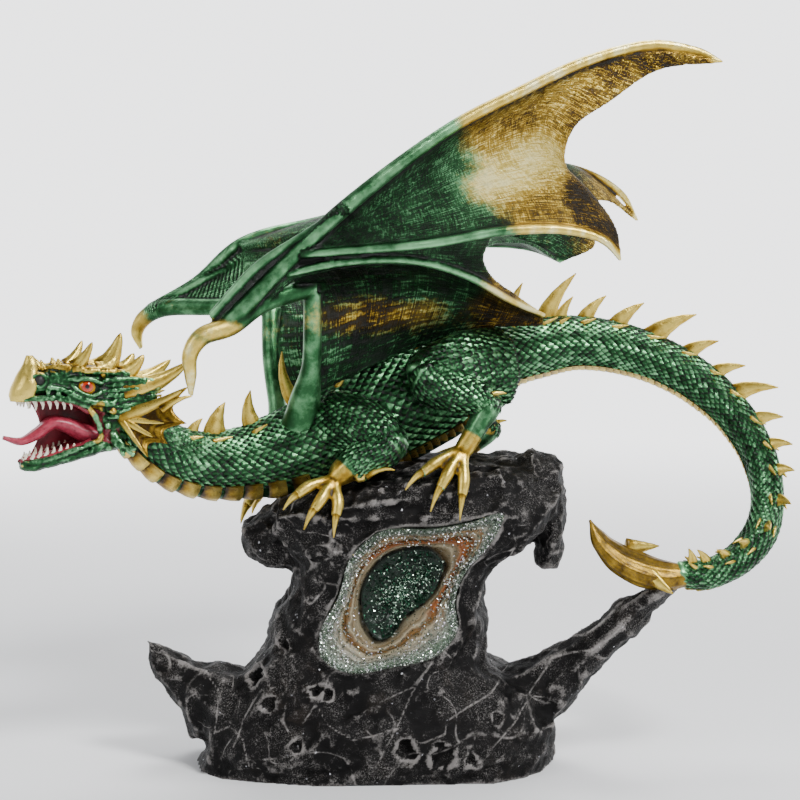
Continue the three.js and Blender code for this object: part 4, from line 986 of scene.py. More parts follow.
def dragon_gold():
    shell = Shell()
    values = dict(relief=-0.2, gold=1.0, shade=0.1, wash=0.6)
    for station, height, length, lean in BACK_THORNS:
        centre, forward, side, upward, half = [x[0] for x in spine_frame(station)]
        base = centre + upward * (half[1] - 2)
        tip = base + upward * (height + 2) + forward * height * lean
        add_horn(shell, base, tip, length, 0.1, -forward, 0.45, grooves=5, sides=20, values=values)
        for swing in (-0.5, 0.5):
            low = centre + upward * (half[1] * math.cos(swing) - 1.5) + side * half[0] * math.sin(swing)
            point = low + upward * 3.4 + forward * length * 0.45 + side * swing * 2
            add_horn(shell, low - forward * length * 0.2, point, 4, 0.1, -forward, 0.6,
                     values=dict(values, gold=0.8))
    for base, tip, width, blunt, both in HORNS:
        for cheek in (1, -1) if both else (1,):
            add_horn(shell, in_head(base, cheek), in_head(tip, cheek), width, 0.08, (0.3, 0, -1), 0.7,
                     grooves=7, sides=28, values=values, blunt=blunt)
    for cheek in (1, -1):
        frill_web(shell, cheek)
        for tip, thick in zip(FRILL_TIPS, (7.5, 4.6, 4.4, 4.2)):
            add_horn(shell, in_head(FRILL_ROOT, cheek), in_head(tip, cheek), thick, 0.03, (0.3, 0, -1), 0.7,
                     grooves=4, sides=20, values=values, blunt=0.34)
        add_horn(shell, in_head([-13, 18.5, 3], cheek), in_head([-27.5, 21, 9.5], cheek), 4, 0.1,
                 (0.3, 0, 1), 0.6, grooves=3, sides=14, values=values, blunt=0.3)
    snout_plate(shell)
    station = 0.6
    while station < 5.6:
        add_plate(shell, station, -4.2, 4.6, 1.0, 1.3, 1.0)
        station += 0.5
    lengths = segment_lengths(SPINE)
    pitch = 4.2
    while station < SPINE_LAST - 0.4:
        add_plate(shell, station, -2.6, 2.8, 0.62, 0.5, 0.25, columns=7)
        station += pitch / lengths[min(int(station), len(lengths) - 1)]
    for leg in LEGS:
        for knuckle, claw in leg["toes"]:
            base = vec(*knuckle) * 0.6 + vec(*claw) * 0.4 + vec(0, -0.6, 1.1)
            add_horn(shell, base, claw, 4.8, 0.1, (0, -0.3, 1), 0.85, sides=14, values=values)
        heel, tip = leg["heel"]
        add_horn(shell, heel, tip, 4.8, 0.12, (0, 0, 1), 0.85, sides=14, values=values)
    leaf = [[154, -23, 97, 5.5, 5.5], [143, -23, 97, 8, 6.5], [131, -24, 100, 10, 6.5], [119, -25, 106, 9, 5.5],
            [110, -26, 115, 6, 3.6], [105, -27, 125, 0.6, 0.6]]
    add_tube(shell, leaf, values, up=(0.3, -0.5, 0.8), sides=40, steps=8,
             swell=lambda a, t: 1 + 0.07 * np.cos(10 * a) * np.sin(math.pi * np.clip(t * 1.1, 0, 1)))
    add_horn(shell, (132, -28, 99), (145, -34, 90), 10, flat=0.5, grooves=4, values=values)
    add_horn(shell, (124, -18, 110), (141, -13, 110), 9, flat=0.5, grooves=4, values=values)
    return shell.object("dragon_gold")


def mouth_parts():
    """Teeth, tongue, gums and mouth lining, nostrils and eyes."""
    teeth, gums = Shell(), Shell()
    for cheek in (1, -1):
        for i in range(9):
            k = i / 8
            root = vec(50.4 - 25.4 * k, 3.0 + 6.8 * k ** 0.62, 9.4 - 1.2 * k ** 3)
            length = (3.6, 4.6, 5.4, 4.8, 4.8, 4.6, 4.6, 4.4, 3.4)[i]
            add_horn(teeth, in_head(root, cheek), in_head(root + vec(-0.7, -0.1, -length), cheek), 2.7, 0.08,
                     -HEAD_FORWARD, 0.9, sides=10, blunt=0.24)
            root = vec(48.0 - 24 * k, 2.2 + 6.6 * k ** 0.62, -19.6 + 5.2 * k)
            length = (4.0, 3.6, 4.4, 4.4, 4.0, 4.2, 4.0, 3.6, 3.0)[i]
            add_horn(teeth, in_head(root, cheek), in_head(root + vec(-0.9, 0.1, length), cheek), 2.5, 0.08,
                     -HEAD_FORWARD, 0.9, sides=10, blunt=0.24)
        head_line(gums, [[50, 2, 9.2, 1.3, 1.2], [43, 5.4, 9.2, 1.5, 1.3], [34, 7.6, 8.8, 1.6, 1.4],
                         [26, 8.8, 7.2, 1.7, 1.5], [19, 9.4, 3, 1.8, 1.6]], cheek, sides=12, steps=6)
        head_line(gums, [[48, 1.6, -19.0, 1.2, 1.1], [42, 4.6, -18.6, 1.5, 1.3], [34, 6.9, -16.6, 1.6, 1.4],
                         [26, 8.4, -14.2, 1.7, 1.5], [18, 9.2, -11, 1.8, 1.6]], cheek, sides=12, steps=6)
    # palate, floor and throat, and the cheek skin on the far side
    head_tube(gums, [[8, 3, 8.5, 4], [18, 6, 8.2, 3.2], [30, 9.2, 7.2, 2.2], [42, 10.4, 5.4, 1.6],
                     [49, 10.6, 2.6, 1.2]], sides=24, steps=6)
    head_tube(gums, [[8, -11, 8.5, 3.4], [18, -13.4, 8.4, 2.8], [30, -16.8, 7.2, 2.2], [41, -19.6, 5, 1.8],
                     [47, -20.6, 2.4, 1.2]], sides=24, steps=6)
    head_tube(gums, [[9, -3, 9.2, 9.4], [12.8, -3.2, 9.2, 9.2], [14.6, -3.6, 8, 7.8]], sides=28, steps=4)
    rows, columns = 16, 20
    sheet = []
    for side in (0.5, -0.5):
        for i in range(rows + 1):
            for j in range(columns + 1):
                f = 9 + 36 * j / columns * (1 - 0.18 * math.sin(math.pi * i / rows))
                top = np.interp(f, [9, 20, 34, 50], [3, 7, 9.6, 10])
                low = np.interp(f, [9, 20, 29, 38, 46], [-12, -13, -16, -19, -20])
                wide = np.interp(f, [9, 26, 40, 50], [9.6, 9.4, 7.0, 3.4])
                puff = 0.8 * math.sin(math.pi * i / rows)
                sheet.append([f, -wide + side + puff, top + (low - top) * i / rows])
    gums.add(in_head(np.array(sheet)), slab_faces(rows, columns, flip=True))
    tongue = Shell()
    placed = [[*in_head([f, n, u]), w, h] for f, n, u, w, h in
              [[9, 0, -9, 7, 4.4], [19, 0, -7.6, 7.2, 4.6], [27, 0, -3.6, 6.8, 4.0], [34, 0, -2.2, 6.0, 3.2],
               [41, 0, -6.8, 5.0, 2.8], [49, 0.4, -10.4, 3.8, 2.0], [57.5, 1, -8.4, 1.3, 1.0]]]
    add_tube(tongue, placed, sides=36, steps=10,
             swell=lambda a, t: 1 - 0.2 * np.exp(-((a - math.pi / 2) / 0.4) ** 2) * np.sin(math.pi * t))
    eyes, dark = Shell(), Shell()
    for cheek in (1, -1):
        outward = unit(HEAD_NEAR * cheek + HEAD_FORWARD * 0.22 + vec(0, 0, 0.08))
        middle = in_head([20.2, 9.2, 14.6], cheek)
        points, faces = ball(middle, 4.5)
        pupil = middle + outward * 4.5 + HEAD_FORWARD * -0.3
        eyes.add(points, faces, iris=np.linalg.norm(points - pupil, axis=1),
                 ahead=(points - middle) @ HEAD_FORWARD)
        # A near-black ball in each nostril: painted shade standing in for the nostril opening.
        add_ball(dark, in_head([41.6, 6.6, 18.1], cheek), 2.6)
    return teeth, gums, tongue, eyes, dark


def ball(middle, radius, along=(0, 0, 1), sides=28, steps=3):
    along = unit(vec(*along))
    stations = [[*(middle + along * radius * math.sin(a)), radius * max(math.cos(a), 0.02)]
                for a in np.linspace(-math.pi / 2, math.pi / 2, 9)]
    return ring_tube(stations, up=(0.31, 0.2, 0.9), sides=sides, steps=steps)[:2]


def add_ball(shell, middle, radius, along=(0, 0, 1), **values):
    points, faces = ball(middle, radius, along, 14, 1)
    shell.add(points, faces, **values)


# ---- wings ---------------------------------------------------------------------------------------

# Bones and fingers are tubes x, y, z, half width, half height; panels are stretched between edges.
NEAR_WING = dict(
    bones=[
        [[-36, -20, 170, 10, 8], [-34, -25, 181, 8, 6], [-30, -34, 202, 4.6, 4.4], [-29, -44, 236, 4.2, 4]],
        [[-28, -45, 239, 4.6, 4], [-52, -56, 231, 4.6, 4], [-66, -65, 221, 4.8, 4.8], [-79, -70, 216, 4.4, 4.6],
         [-84, -71, 208, 3.8, 4], [-84, -70, 199, 3, 3], [-84, -68, 189, 1.2, 1.2]],
        [[-70, -66, 219, 4.4, 4.4], [-44, -61, 246, 3.6, 3.6], [-15, -56, 274, 3.9, 3.9], [36, -44, 313, 3, 3],
         [70, -37, 331, 2.8, 2.8], [102, -31, 346, 2.6, 2.6], [134, -26, 354, 2.4, 2.4], [156, -23, 351, 2, 2],
         [168, -22, 346, 0.8, 0.8]],
        [[-74, -65, 226, 2.2, 2.2], [-54, -62, 248, 2.2, 2.2], [-30, -58, 264, 2.2, 2.2], [-14, -56, 275, 2, 2]],
    ],
    fingers=[
        [[-32, -60, 254, 1.8, 1.8], [27, -62, 259, 2.2, 2.2], [62, -60, 265, 2.4, 2.4], [92, -57, 265, 2.2, 2.2],
         [108, -54, 260, 1.8, 1.8], [116, -52, 251, 0.8, 0.8]],
        [[-40, -59, 245, 1.8, 1.8], [-9, -58, 251, 2.2, 2.2], [20, -52, 251, 2.2, 2.2], [44, -40, 244, 2, 2],
         [66, -22, 232, 1.8, 1.8], [84, -6, 224, 1.2, 1.2]],
    ],
    panels=[
        dict(top=[[-15, -56, 274], [36, -44, 313], [70, -37, 331], [102, -31, 346], [134, -26, 354], [168, -22, 346]],
             bottom=[[-32, -60, 254], [27, -62, 259], [62, -60, 265], [92, -57, 265], [108, -54, 260], [116, -52, 251]],
             root=[[-15, -56, 274], [-32, -60, 254]],
             end=[[168, -22, 346], [136, -28, 342], [113, -34, 327], [96, -41, 315], [91, -44, 303], [92, -46, 294],
                  [104, -49, 281], [114, -51, 266], [116, -52, 251]], dish=12),
        dict(top=[[-32, -60, 254], [10, -62, 258], [55, -60, 263]],
             bottom=[[-40, -59, 245], [-9, -58, 251], [20, -52, 251], [44, -40, 244], [66, -22, 232], [84, -6, 224]],
             root=[[-32, -60, 254], [-40, -59, 245]],
             end=[[55, -60, 263], [52, -48, 252], [58, -34, 242], [70, -20, 234], [84, -6, 224]], dish=6),
        dict(top=[[-40, -59, 245], [-9, -58, 251], [20, -52, 251], [44, -40, 244], [66, -22, 232], [84, -6, 224]],
             bottom=[[-30, -24, 186], [-8, -14, 196], [20, -8, 208], [52, -2, 217], [84, 0, 219]],
             root=[[-40, -59, 245], [-30, -42, 232], [-28, -32, 206], [-30, -24, 186]],
             end=[[84, -6, 224], [84, 0, 219]], dish=8),
        dict(top=[[-76, -65, 226], [-54, -62, 248], [-30, -58, 264], [-14, -56, 275]],
             bottom=[[-72, -67, 220], [-44, -61, 246], [-15, -56, 275]],
             root=[[-76, -65, 226], [-72, -67, 220]], end=[[-14, -56, 275], [-15, -56, 275]], dish=0.5),
        dict(top=[[-62, -64, 228], [-44, -61, 246], [-15, -56, 275]],
             bottom=[[-60, -60, 224], [-44, -58, 236], [-28, -52, 250]],
             root=[[-62, -64, 228], [-60, -60, 224]], end=[[-15, -56, 275], [-28, -52, 250]], dish=0.5),
    ])
FAR_WING = dict(
    combed=1,
    bones=[
        [[-48, 6, 168, 6, 5], [-50, 12, 180, 4.5, 4.5], [-53, 22, 202, 5, 4.8], [-54, 32, 226, 5, 4.8]],
        [[-54, 33, 228, 5, 4.6], [-84, 38, 227, 4.4, 4.2], [-112, 42, 226, 4.6, 4.6], [-121, 43, 221, 4.2, 4.2],
         [-125, 44, 214, 3.4, 3.4], [-123, 44, 205, 1.2, 1.2]],
        [[-118, 43, 225, 3.6, 3.6], [-94, 48, 240, 3, 3], [-71, 56, 260, 3.4, 3.4], [-24, 80, 274, 3, 3],
         [34, 105, 295, 3, 3], [85, 125, 305, 2.8, 2.8], [118, 139, 301, 2.6, 2.6], [140, 147, 289, 2.2, 2.2],
         [150, 150, 274, 0.9, 0.9]],
        [[-116, 42, 226, 2, 2], [-92, 46, 240, 2, 2], [-68, 52, 250, 2, 2]],
    ],
    fingers=[
        [[-70, 54, 258, 2, 2], [-20, 68, 258, 2.2, 2.2], [40, 86, 260, 2.2, 2.2], [84, 98, 258, 2, 2],
         [102, 102, 250, 0.9, 0.9]],
        [[-66, 44, 240, 2, 2], [-20, 46, 238, 2.2, 2.2], [20, 40, 236, 2, 2], [50, 28, 231, 1.8, 1.8],
         [76, 20, 225, 1.2, 1.2]],
    ],
    panels=[
        dict(top=[[-71, 56, 260], [-24, 80, 274], [34, 105, 295], [85, 125, 305], [118, 139, 301], [150, 150, 274]],
             bottom=[[-70, 54, 256], [-20, 68, 258], [40, 86, 260], [84, 98, 258], [102, 102, 250]],
             root=[[-71, 56, 260], [-70, 54, 256]],
             end=[[150, 150, 274], [134, 140, 284], [118, 130, 284], [108, 118, 276], [121, 110, 260],
                  [102, 102, 250]], dish=-10),
        dict(top=[[-70, 54, 256], [-20, 68, 258], [40, 86, 260], [84, 98, 258], [102, 102, 250]],
             bottom=[[-66, 44, 240], [-20, 46, 238], [20, 40, 236], [50, 28, 231], [76, 20, 225]],
             root=[[-70, 54, 256], [-66, 44, 240]],
             end=[[102, 102, 250], [83, 84, 260], [60, 66, 259], [52, 46, 246], [60, 28, 234], [76, 20, 225]],
             dish=-6),
        dict(top=[[-66, 44, 240], [-20, 46, 238], [20, 40, 236], [50, 28, 231], [76, 20, 225]],
             bottom=[[-44, 12, 182], [-14, 12, 190], [20, 15, 204], [50, 18, 214], [76, 18, 219]],
             root=[[-66, 44, 240], [-56, 34, 226], [-52, 22, 204], [-44, 12, 182]],
             end=[[76, 20, 225], [76, 18, 219]], dish=-6),
        dict(top=[[-122, 43, 224], [-94, 48, 240], [-71, 56, 260]],
             bottom=[[-116, 42, 226], [-88, 40, 227], [-60, 35, 229]],
             root=[[-122, 43, 224], [-116, 42, 226]],
             end=[[-71, 56, 260], [-66, 46, 246], [-60, 35, 229]], dish=0),
    ])


def sheet_points(panel, u, v):
    """Places on a membrane that is stretched over four edge curves; u runs outward, v down."""
    edge = {k: np.asarray(panel[k], dtype=float) for k in ("top", "bottom", "root", "end")}
    u, v = u.ravel(), v.ravel()
    p = (centripetal(edge["top"], u) * (1 - v)[:, None] + centripetal(edge["bottom"], u) * v[:, None]
         + centripetal(edge["root"], v) * (1 - u)[:, None] + centripetal(edge["end"], v) * u[:, None])
    corners = [edge["top"][0], edge["top"][-1], edge["bottom"][0], edge["bottom"][-1]]
    shares = [(1 - u) * (1 - v), u * (1 - v), (1 - u) * v, u * v]
    for corner, share in zip(corners, shares):
        p -= corner * share[:, None]
    p[:, 1] += panel["dish"] * np.sin(math.pi * v) * np.sin(math.pi * (0.15 + 0.65 * u))
    return p


def add_sheet(shell, panel, columns=80, rows=40, thick=2.0):
    """A membrane as a closed slab; its normals are turned to the same side before it is thickened."""
    v, u = np.meshgrid(np.linspace(0, 1, rows + 1), np.linspace(0, 1, columns + 1), indexing="ij")
    p = sheet_points(panel, u, v)
    grid = p.reshape(rows + 1, columns + 1, 3)
    across = np.cross(np.gradient(grid, axis=1), np.gradient(grid, axis=0)).reshape(-1, 3)
    normal = unit(across + vec(0, 1e-6, 0))
    normal *= np.sign(normal[:, 1:2] + 1e-9)
    offset = normal * thick / 2
    shell.add(np.vstack([p - offset, p + offset]), slab_faces(rows, columns, flip=True))


def wing_cast(wing, name):
    shell = Shell()
    for bone in wing["bones"]:
        add_tube(shell, bone, up=(0, 1, 0.3), sides=24, steps=8)
    for finger in wing["fingers"]:
        add_tube(shell, finger, up=(0, 1, 0.3), sides=18, steps=10)
    for panel in wing["panels"]:
        add_sheet(shell, panel)
    return fuse(shell, name, WING_GRAIN, 4)


def wing_values(obj, wing, gold_at, tone_at):
    """Where each point lies on its panel (u out, v down, in mm), how near a bone, and its paint; the tone from
    `tone_at` may hold painted highlight and painted shadow.
    """
    points = read_points(obj)
    u, v = np.meshgrid(np.linspace(0, 1, 120), np.linspace(0, 1, 60), indexing="ij")
    samples, us, vs, out_way, down_way = [], [], [], [], []
    for k, panel in enumerate(wing["panels"]):
        p = sheet_points(panel, u, v)
        grid = p.reshape(120, 60, 3)
        top = np.linalg.norm(np.diff(centripetal(panel["top"], np.linspace(0, 1, 60)), axis=0), axis=1).sum()
        end = np.linalg.norm(np.diff(centripetal(panel["end"], np.linspace(0, 1, 60)), axis=0), axis=1).sum()
        samples.append(p)
        us.append(u.ravel() * max(top, 20) + 40 * k)
        vs.append(v.ravel() * max(end, 20) + 90 * k)
        for ways, axis, reach in ((out_way, 0, max(top, 20) / 119), (down_way, 1, max(end, 20) / 59)):
            slope = np.gradient(grid, axis=axis).reshape(-1, 3)
            ways.append(slope / np.maximum((slope ** 2).sum(axis=1, keepdims=True), 1e-2) * reach)
    samples, us, vs = np.vstack(samples), np.concatenate(us), np.concatenate(vs)
    out_way, down_way = np.vstack(out_way), np.vstack(down_way)
    found = nearest(samples, points)[0]
    offset = points - samples[found]
    give(obj, "u", us[found] + (offset * out_way[found]).sum(axis=1))
    give(obj, "v", vs[found] + (offset * down_way[found]).sum(axis=1))
    bone_points = []
    for bone in wing["bones"] + wing["fingers"]:
        t = np.linspace(0, 1, 160)
        r = spread(np.asarray([q[3] for q in bone], dtype=float), t)
        bone_points.append(np.hstack([centripetal([q[:3] for q in bone], t), r[:, None]]))
    bone_points = np.vstack(bone_points)
    which, away = nearest(bone_points[:, :3], points)
    give(obj, "bone", 1 - smoothstep(0.3, 2.0, away - bone_points[which, 3]))
    give(obj, "gold", gold_at(points))
    # On the near wing this tone holds painted highlight and painted shadow besides the paint's own tone.
    give(obj, "shade", tone_at(points))
    web = smoothstep(3.6, 1.4, np.abs(away - bone_points[which, 3] - 3.2)) * wing.get("combed", 0)
    web *= (np.repeat(np.arange(len(wing["panels"])), 7200)[found] == len(wing["panels"]) - 1)
    give(obj, "ribs", web)
    down = (vs[found] + (offset * down_way[found]).sum(axis=1)) % 90
    give(obj, "slope", np.abs(down - 10) * 0.9)
    mark_relief(obj, 6)


def nearest(samples, points):
    """For each point, the nearest sample's number and its distance."""
    tree = KDTree(len(samples))
    for i, p in enumerate(samples):
        tree.insert(p, i)
    tree.balance()
    found = [tree.find(p)[1:] for p in points]
    return np.array([f[0] for f in found]), np.array([f[1] for f in found])


def patch(points, centre, radii, soft=0.4):
    """1 inside an ellipsoid about `centre`, falling to 0 outside it."""
    d = np.linalg.norm((points - vec(*centre)) / vec(*radii), axis=1)
    return 1 - smoothstep(1 - soft, 1 + soft, d)


def near_gold(p):
    drift = 9 * rough(p, 26, 3)
    x, z = p[:, 0] + drift, p[:, 2] + 0.5 * drift
    outer = smoothstep(-12, 12, x - 42 - (313 - z) * 0.5) * smoothstep(250, 262, z + 0.12 * (x - 60))
    g = np.maximum(outer, 0.85 * patch(p + drift[:, None] * 0.5, (6, -34, 224), (34, 34, 8), 0.8))
    g = np.maximum(g, smoothstep(44, 62, x - 0.4 * (z - 240)) * smoothstep(262, 250, z))
    g = np.maximum(g, patch(p, (-82, -70, 202), (9, 12, 17)))
    return np.maximum(g, patch(p, (-72, -68, 219), (13, 12, 5)) * 0.8)


# Tone of the near wing's membrane: darker and lighter paint, with painted highlight on its pale patches and painted
# shadow under the lower finger and the leading bone.
def near_tone_and_painted_light(p):
    drift = 6 * rough(p, 20, 13)
    x, z = p[:, 0] + drift, p[:, 2] + drift
    q = np.column_stack([x, p[:, 1], z])
    # Lighter patches of pale gold and mint paint, brightened further as painted highlight.
    pale_paint_and_highlight = 1.0 * patch(q, (66, -45, 296), (22, 40, 13), 0.7) + 0.55 * patch(q, (50, -45, 282), (16, 40, 9), 0.7)
    pale_paint_and_highlight += 0.3 * smoothstep(120, 60, x) * smoothstep(315, 330, z)
    # Darker paint: the patch near the outer notch, the lobe, the lower outer membrane and towards the root.
    dark = 0.9 * patch(q, (99, -50, 284), (10, 40, 9), 0.6) + 0.55 * patch(q, (108, -50, 266), (12, 40, 12), 0.6)
    dark += 0.6 * smoothstep(36, 66, x) * smoothstep(246, 226, z) + 0.35 * smoothstep(30, -30, x)
    # Dark bands along and below the lower finger, and just below the leading bone near the tip: painted shadow under
    # their ridges.
    dark += 0.45 * patch(q, (20, -50, 247), (60, 40, 6), 0.6) + 0.4 * patch(q, (140, -30, 345), (20, 30, 5), 0.6)
    return pale_paint_and_highlight - dark + 0.25 * noise(p, 22, 8)


def far_gold(p):
    g = smoothstep(95, 130, p[:, 0])
    g = np.maximum(g, patch(p, (-124, 44, 214), (7, 12, 12)) * 0.8)
    return g + 0.22 * noise(p, 18, 4)


def far_tone(p):
    return 0.3 * smoothstep(-40, -80, p[:, 0]) + 0.25 * noise(p, 22, 9)


# ---- rock ----------------------------------------------------------------------------------------

# On the front of the base: crisp ridges as x, z along each, and pits as x, z, radius, depth.
ROCK_RIDGES = [
    [(-107, 70), (-91, 53), (-77, 39), (-78, 20)], [(28, 60), (18, 43), (10, 27), (0, 8)],
    [(1, 39), (18, 46), (27, 58)], [(35, 30), (54, 41), (69, 52), (83, 58), (104, 66)],
    [(55, 16), (67, 28), (78, 41), (88, 54)], [(-67, 16), (-63, 28), (-54, 43)], [(-34, 29), (-28, 38), (-22, 28)],
    [(-78, 20), (-70, 24), (-63, 20), (-60, 8)], [(10, 27), (22, 20), (34, 24), (35, 30)],
    [(-22, 28), (-10, 22), (0, 24), (10, 27)], [(104, 66), (122, 82), (140, 93)], [(88, 54), (106, 60), (120, 72)],
]
ROCK_PITS = [
    (-59, 50, 4.6, 3.6), (-28, 43, 2.8, 2.6), (-21.5, 41, 2.6, 2.6), (-51, 36, 3.4, 2.8), (-37, 18, 2.8, 2.2),
    (15, 16, 4.6, 3.2), (32, 15, 5.4, 2.4), (-44, 66, 3.0, 1.8), (60, 30, 2.6, 1.6), (46, 12, 3.0, 1.8),
]


def distance_to_line(x, z, line):
    best = np.full(len(x), 1e9)
    for (ax, az), (bx, bz) in zip(line, line[1:]):
        reach = (bx - ax) ** 2 + (bz - az) ** 2
        t = np.clip(((x - ax) * (bx - ax) + (z - az) * (bz - az)) / reach, 0, 1)
        best = np.minimum(best, np.hypot(x - ax - t * (bx - ax), z - az - t * (bz - az)))
    return best


def rock_cast():
    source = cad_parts["rock_base"]
    copy = bpy.data.objects.new("rock_copy", source.data.copy())
    bpy.context.collection.objects.link(copy)
    rock = fuse(copy, "rock", ROCK_GRAIN, 6)
    points = read_points(rock)
    normals = read_normals(rock)
    warp = np.stack([noise(points, 14, 40 + k) for k in range(3)], axis=1) * 3
    low = smoothstep(66, 44, points[:, 2]) * 0.85 + 0.15
    veins = [noise(points + warp, 27, 50), noise(points + warp, 15, 53)]
    lift = (0.5 - np.abs(veins[0])) * 3.2 * low + (0.5 - np.abs(veins[1])) * 1.3 * low
    lift += rough(points, 17, 60) * 1.6 * (1.2 - low)
    lift += rough(points, 8, 66) * 1.3 + rough(points, 4, 63) * 0.4
    front = smoothstep(0.1, 0.5, -normals[:, 1])
    x, z = points[:, 0] + warp[:, 0] * 0.3, points[:, 2] + warp[:, 2] * 0.3
    crest = np.full(len(points), 9.0)
    for line in ROCK_RIDGES:
        d = distance_to_line(x, z, line)
        near_line = front * np.clip(1 - d / 9.0, 0, 1)
        lift = lift * (1 - 0.75 * near_line) + near_line * 2.2
        crest = np.minimum(crest, np.where(front > 0.4, d, 9.0))
    pits = np.zeros(len(points))
    for px, pz, radius, depth in ROCK_PITS:
        d = np.hypot(x - px + 2.2 * warp[:, 1] * 0.5, z - pz + warp[:, 2] * 0.6) / radius
        d = d * (1 + 0.5 * rough(points, 5, 90))
        bowl = front * np.clip(1 - d ** 2, 0, 1) ** 0.7
        lift = lift - bowl * depth * 1.4 + front * np.exp(-((d - 1.25) / 0.4) ** 2) * 0.7
        pits = np.maximum(pits, bowl)
    for k, (size, share, depth) in enumerate(((17, 0.10, 2.4), (9, 0.06, 1.4))):
        d, pit_key = cells(points, size, 110 + 10 * k)
        chosen = (lattice(pit_key, 130 + k) < share) * (1 - front)
        bowl = chosen * np.clip(1 - (d / (size * 0.24)) ** 2, 0, 1)
        lift = lift - bowl * depth
        pits = np.maximum(pits, bowl)
    hold = smoothstep(0.8, 4.5, seat_distance(points))
    floor = smoothstep(0.2, 3.0, points[:, 2])
    lift = np.clip(lift - 0.9, -5, 1.4) * hold * floor
    moved = points + normals * lift[:, None]
    moved[:, 2] = np.maximum(moved[:, 2], 0)
    write_points(rock, moved)
    shade(rock)
    mark_relief(rock, 4)
    give(rock, "vein_a", veins[0] + (1 - low) * 0.5)
    give(rock, "vein_b", veins[1] + (1 - low) * 0.5)
    give(rock, "crest", crest)
    give(rock, "pit", pits)
    return rock


def seat_distance(points):
    """How far each rock point is from the dragon and from the geode, in mm."""
    trees = []
    for name in ("dragon_body", "geode_inset"):
        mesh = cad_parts[name].data
        trees.append(BVHTree.FromPolygons([v.co for v in mesh.vertices], [p.vertices for p in mesh.polygons]))
    out = np.empty(len(points))
    for i, p in enumerate(points * MM):
        best = 20.0
        for tree in trees:
            hit = tree.find_nearest(Vector(p), best * MM)
            if hit[0] is not None:
                best = min(best, hit[3] / MM)
        out[i] = best
    return out


def rock_paint():
    """Charcoal with a brown cast, dry-brushed grey on its crests and speckled with fine glitter."""
    mat, tree, shader = material("rock_paint_look")
    p = Paint(tree)
    relief = p.value("relief")
    grain = p.noise(1.2, 5, 0.75)
    coarse = p.noise(5, 4, 0.65)
    cloud = p.noise(24, 4, 0.6)
    base = p.ramp(cloud, (0.3, (0.0012, 0.0011, 0.0012)), (0.55, (0.0028, 0.0024, 0.0023)),
                  (0.74, (0.011, 0.0078, 0.0058)))
    hollow = p.sum(p.ramp(p.sum(relief, p.sway(grain, 0.4)), (0.0, 1.0), (0.03, 0.0)),
                   p.times(p.value("pit"), 1.2), "MAXIMUM", clamp=True)
    base = p.blend(p.times(hollow, 0.85), base, (0.0012, 0.001, 0.001))

    def hairline(source, width):
        wander = p.sum(p.sum(source, 0.0, "ABSOLUTE"), p.sway(grain, width * 0.9))
        return p.ramp(p.times(wander, 1 / (4 * width)), (0.0, 1.0), (0.26, 0.0))
    broken = p.ramp(p.sum(p.times(coarse, 0.6), p.times(p.noise(11, 3, 0.6), 0.4)), (0.47, 0.0), (0.6, 1.0))
    veins = p.sum(hairline(p.value("vein_a"), 0.03), hairline(p.value("vein_b"), 0.035), "MAXIMUM")
    crests = p.times(hairline(p.value("crest"), 0.55), p.ramp(coarse, (0.36, 0.15), (0.5, 1.0)))
    lines = p.sum(p.times(veins, broken), crests, "MAXIMUM")
    rubbed = p.ramp(p.sum(relief, p.sway(grain, 1.6)), (0.22, 0.0), (0.7, 1.0))
    patches = p.ramp(p.noise(16, 3, 0.65), (0.46, 0.0), (0.62, 1.0))
    dust = p.times(p.ramp(p.noise(0.7, 3, 0.85), (0.54, 0.0), (0.62, 1.0)), patches)
    pale = p.sum(p.sum(p.times(lines, 0.9), p.times(rubbed, 0.7)), p.times(dust, 0.6), clamp=True)
    colour = p.blend(pale, base, (0.25, 0.235, 0.225))
    sparkle = p.ramp(p.voronoi(0.75, "Color"), (0.955, 0.0), (0.965, 1.0))
    sparkle = p.times(sparkle, p.ramp(coarse, (0.4, 0.1), (0.6, 1.0)))
    colour = p.blend(p.times(sparkle, 0.75), colour, (0.7, 0.7, 0.75))
    p.link(colour, shader.inputs["Base Color"])
    p.link(p.sum(p.span(grain, 0.3, 0.7, 0.42, 0.66), p.times(sparkle, -0.2)), shader.inputs["Roughness"])
    shader.inputs["Specular IOR Level"].default_value = 0.13
    height = p.sum(p.times(grain, 1.2), p.times(coarse, 2.0))
    p.link(p.bump(height, 0.6, 0.6), shader.inputs["Normal"])
    return mat


# ---- geode ---------------------------------------------------------------------------------------

ROCK_LEVELS = [
    [0, -88, 89, -52, 44], [10, -87, 91, -53, 45], [24, -82, 91, -50, 44], [38, -72, 80, -46, 42],
    [52, -61, 57, -43, 40], [66, -54, 57, -42, 38], [80, -49, 56, -42, 36], [94, -42, 58, -42, 35],
    [103, -42, 63, -43, 36], [110, -46, 78, -44, 36], [118, -52, 86, -45, 38], [128, -56, 91, -45, 40],
    [137, -46, 94, -40, 40], [145, -18, 94, -33, 38], [152, 8, 92, -22, 32],
]
GEODE_EDGE = [
    [62, 130], [45, 126], [27, 123], [4, 122], [-11, 109], [-17, 90], [-26, 72], [-25, 60], [-12, 53],
    [10, 56], [30, 61], [40, 72], [39, 88], [45, 103], [56, 116],
]
GEODE_HOLLOW = [
    [33, 107], [28, 112], [18, 113], [8, 110], [0, 103], [-6, 92], [-6, 82], [-4, 74], [2, 67], [9, 70],
    [14, 78], [20, 83], [28, 89], [32, 97], [34, 103],
]
GEODE_DEPTH = 16
# How far each band stands in front of the rock's face (+) or behind it (-), hollow to rim.
GEODE_BANDS = [-10, -4.5, -3, -3.4, -1.6, -0.6, -0.9, 0.8, 0.4]
ROCK_BOXINESS = 3.0
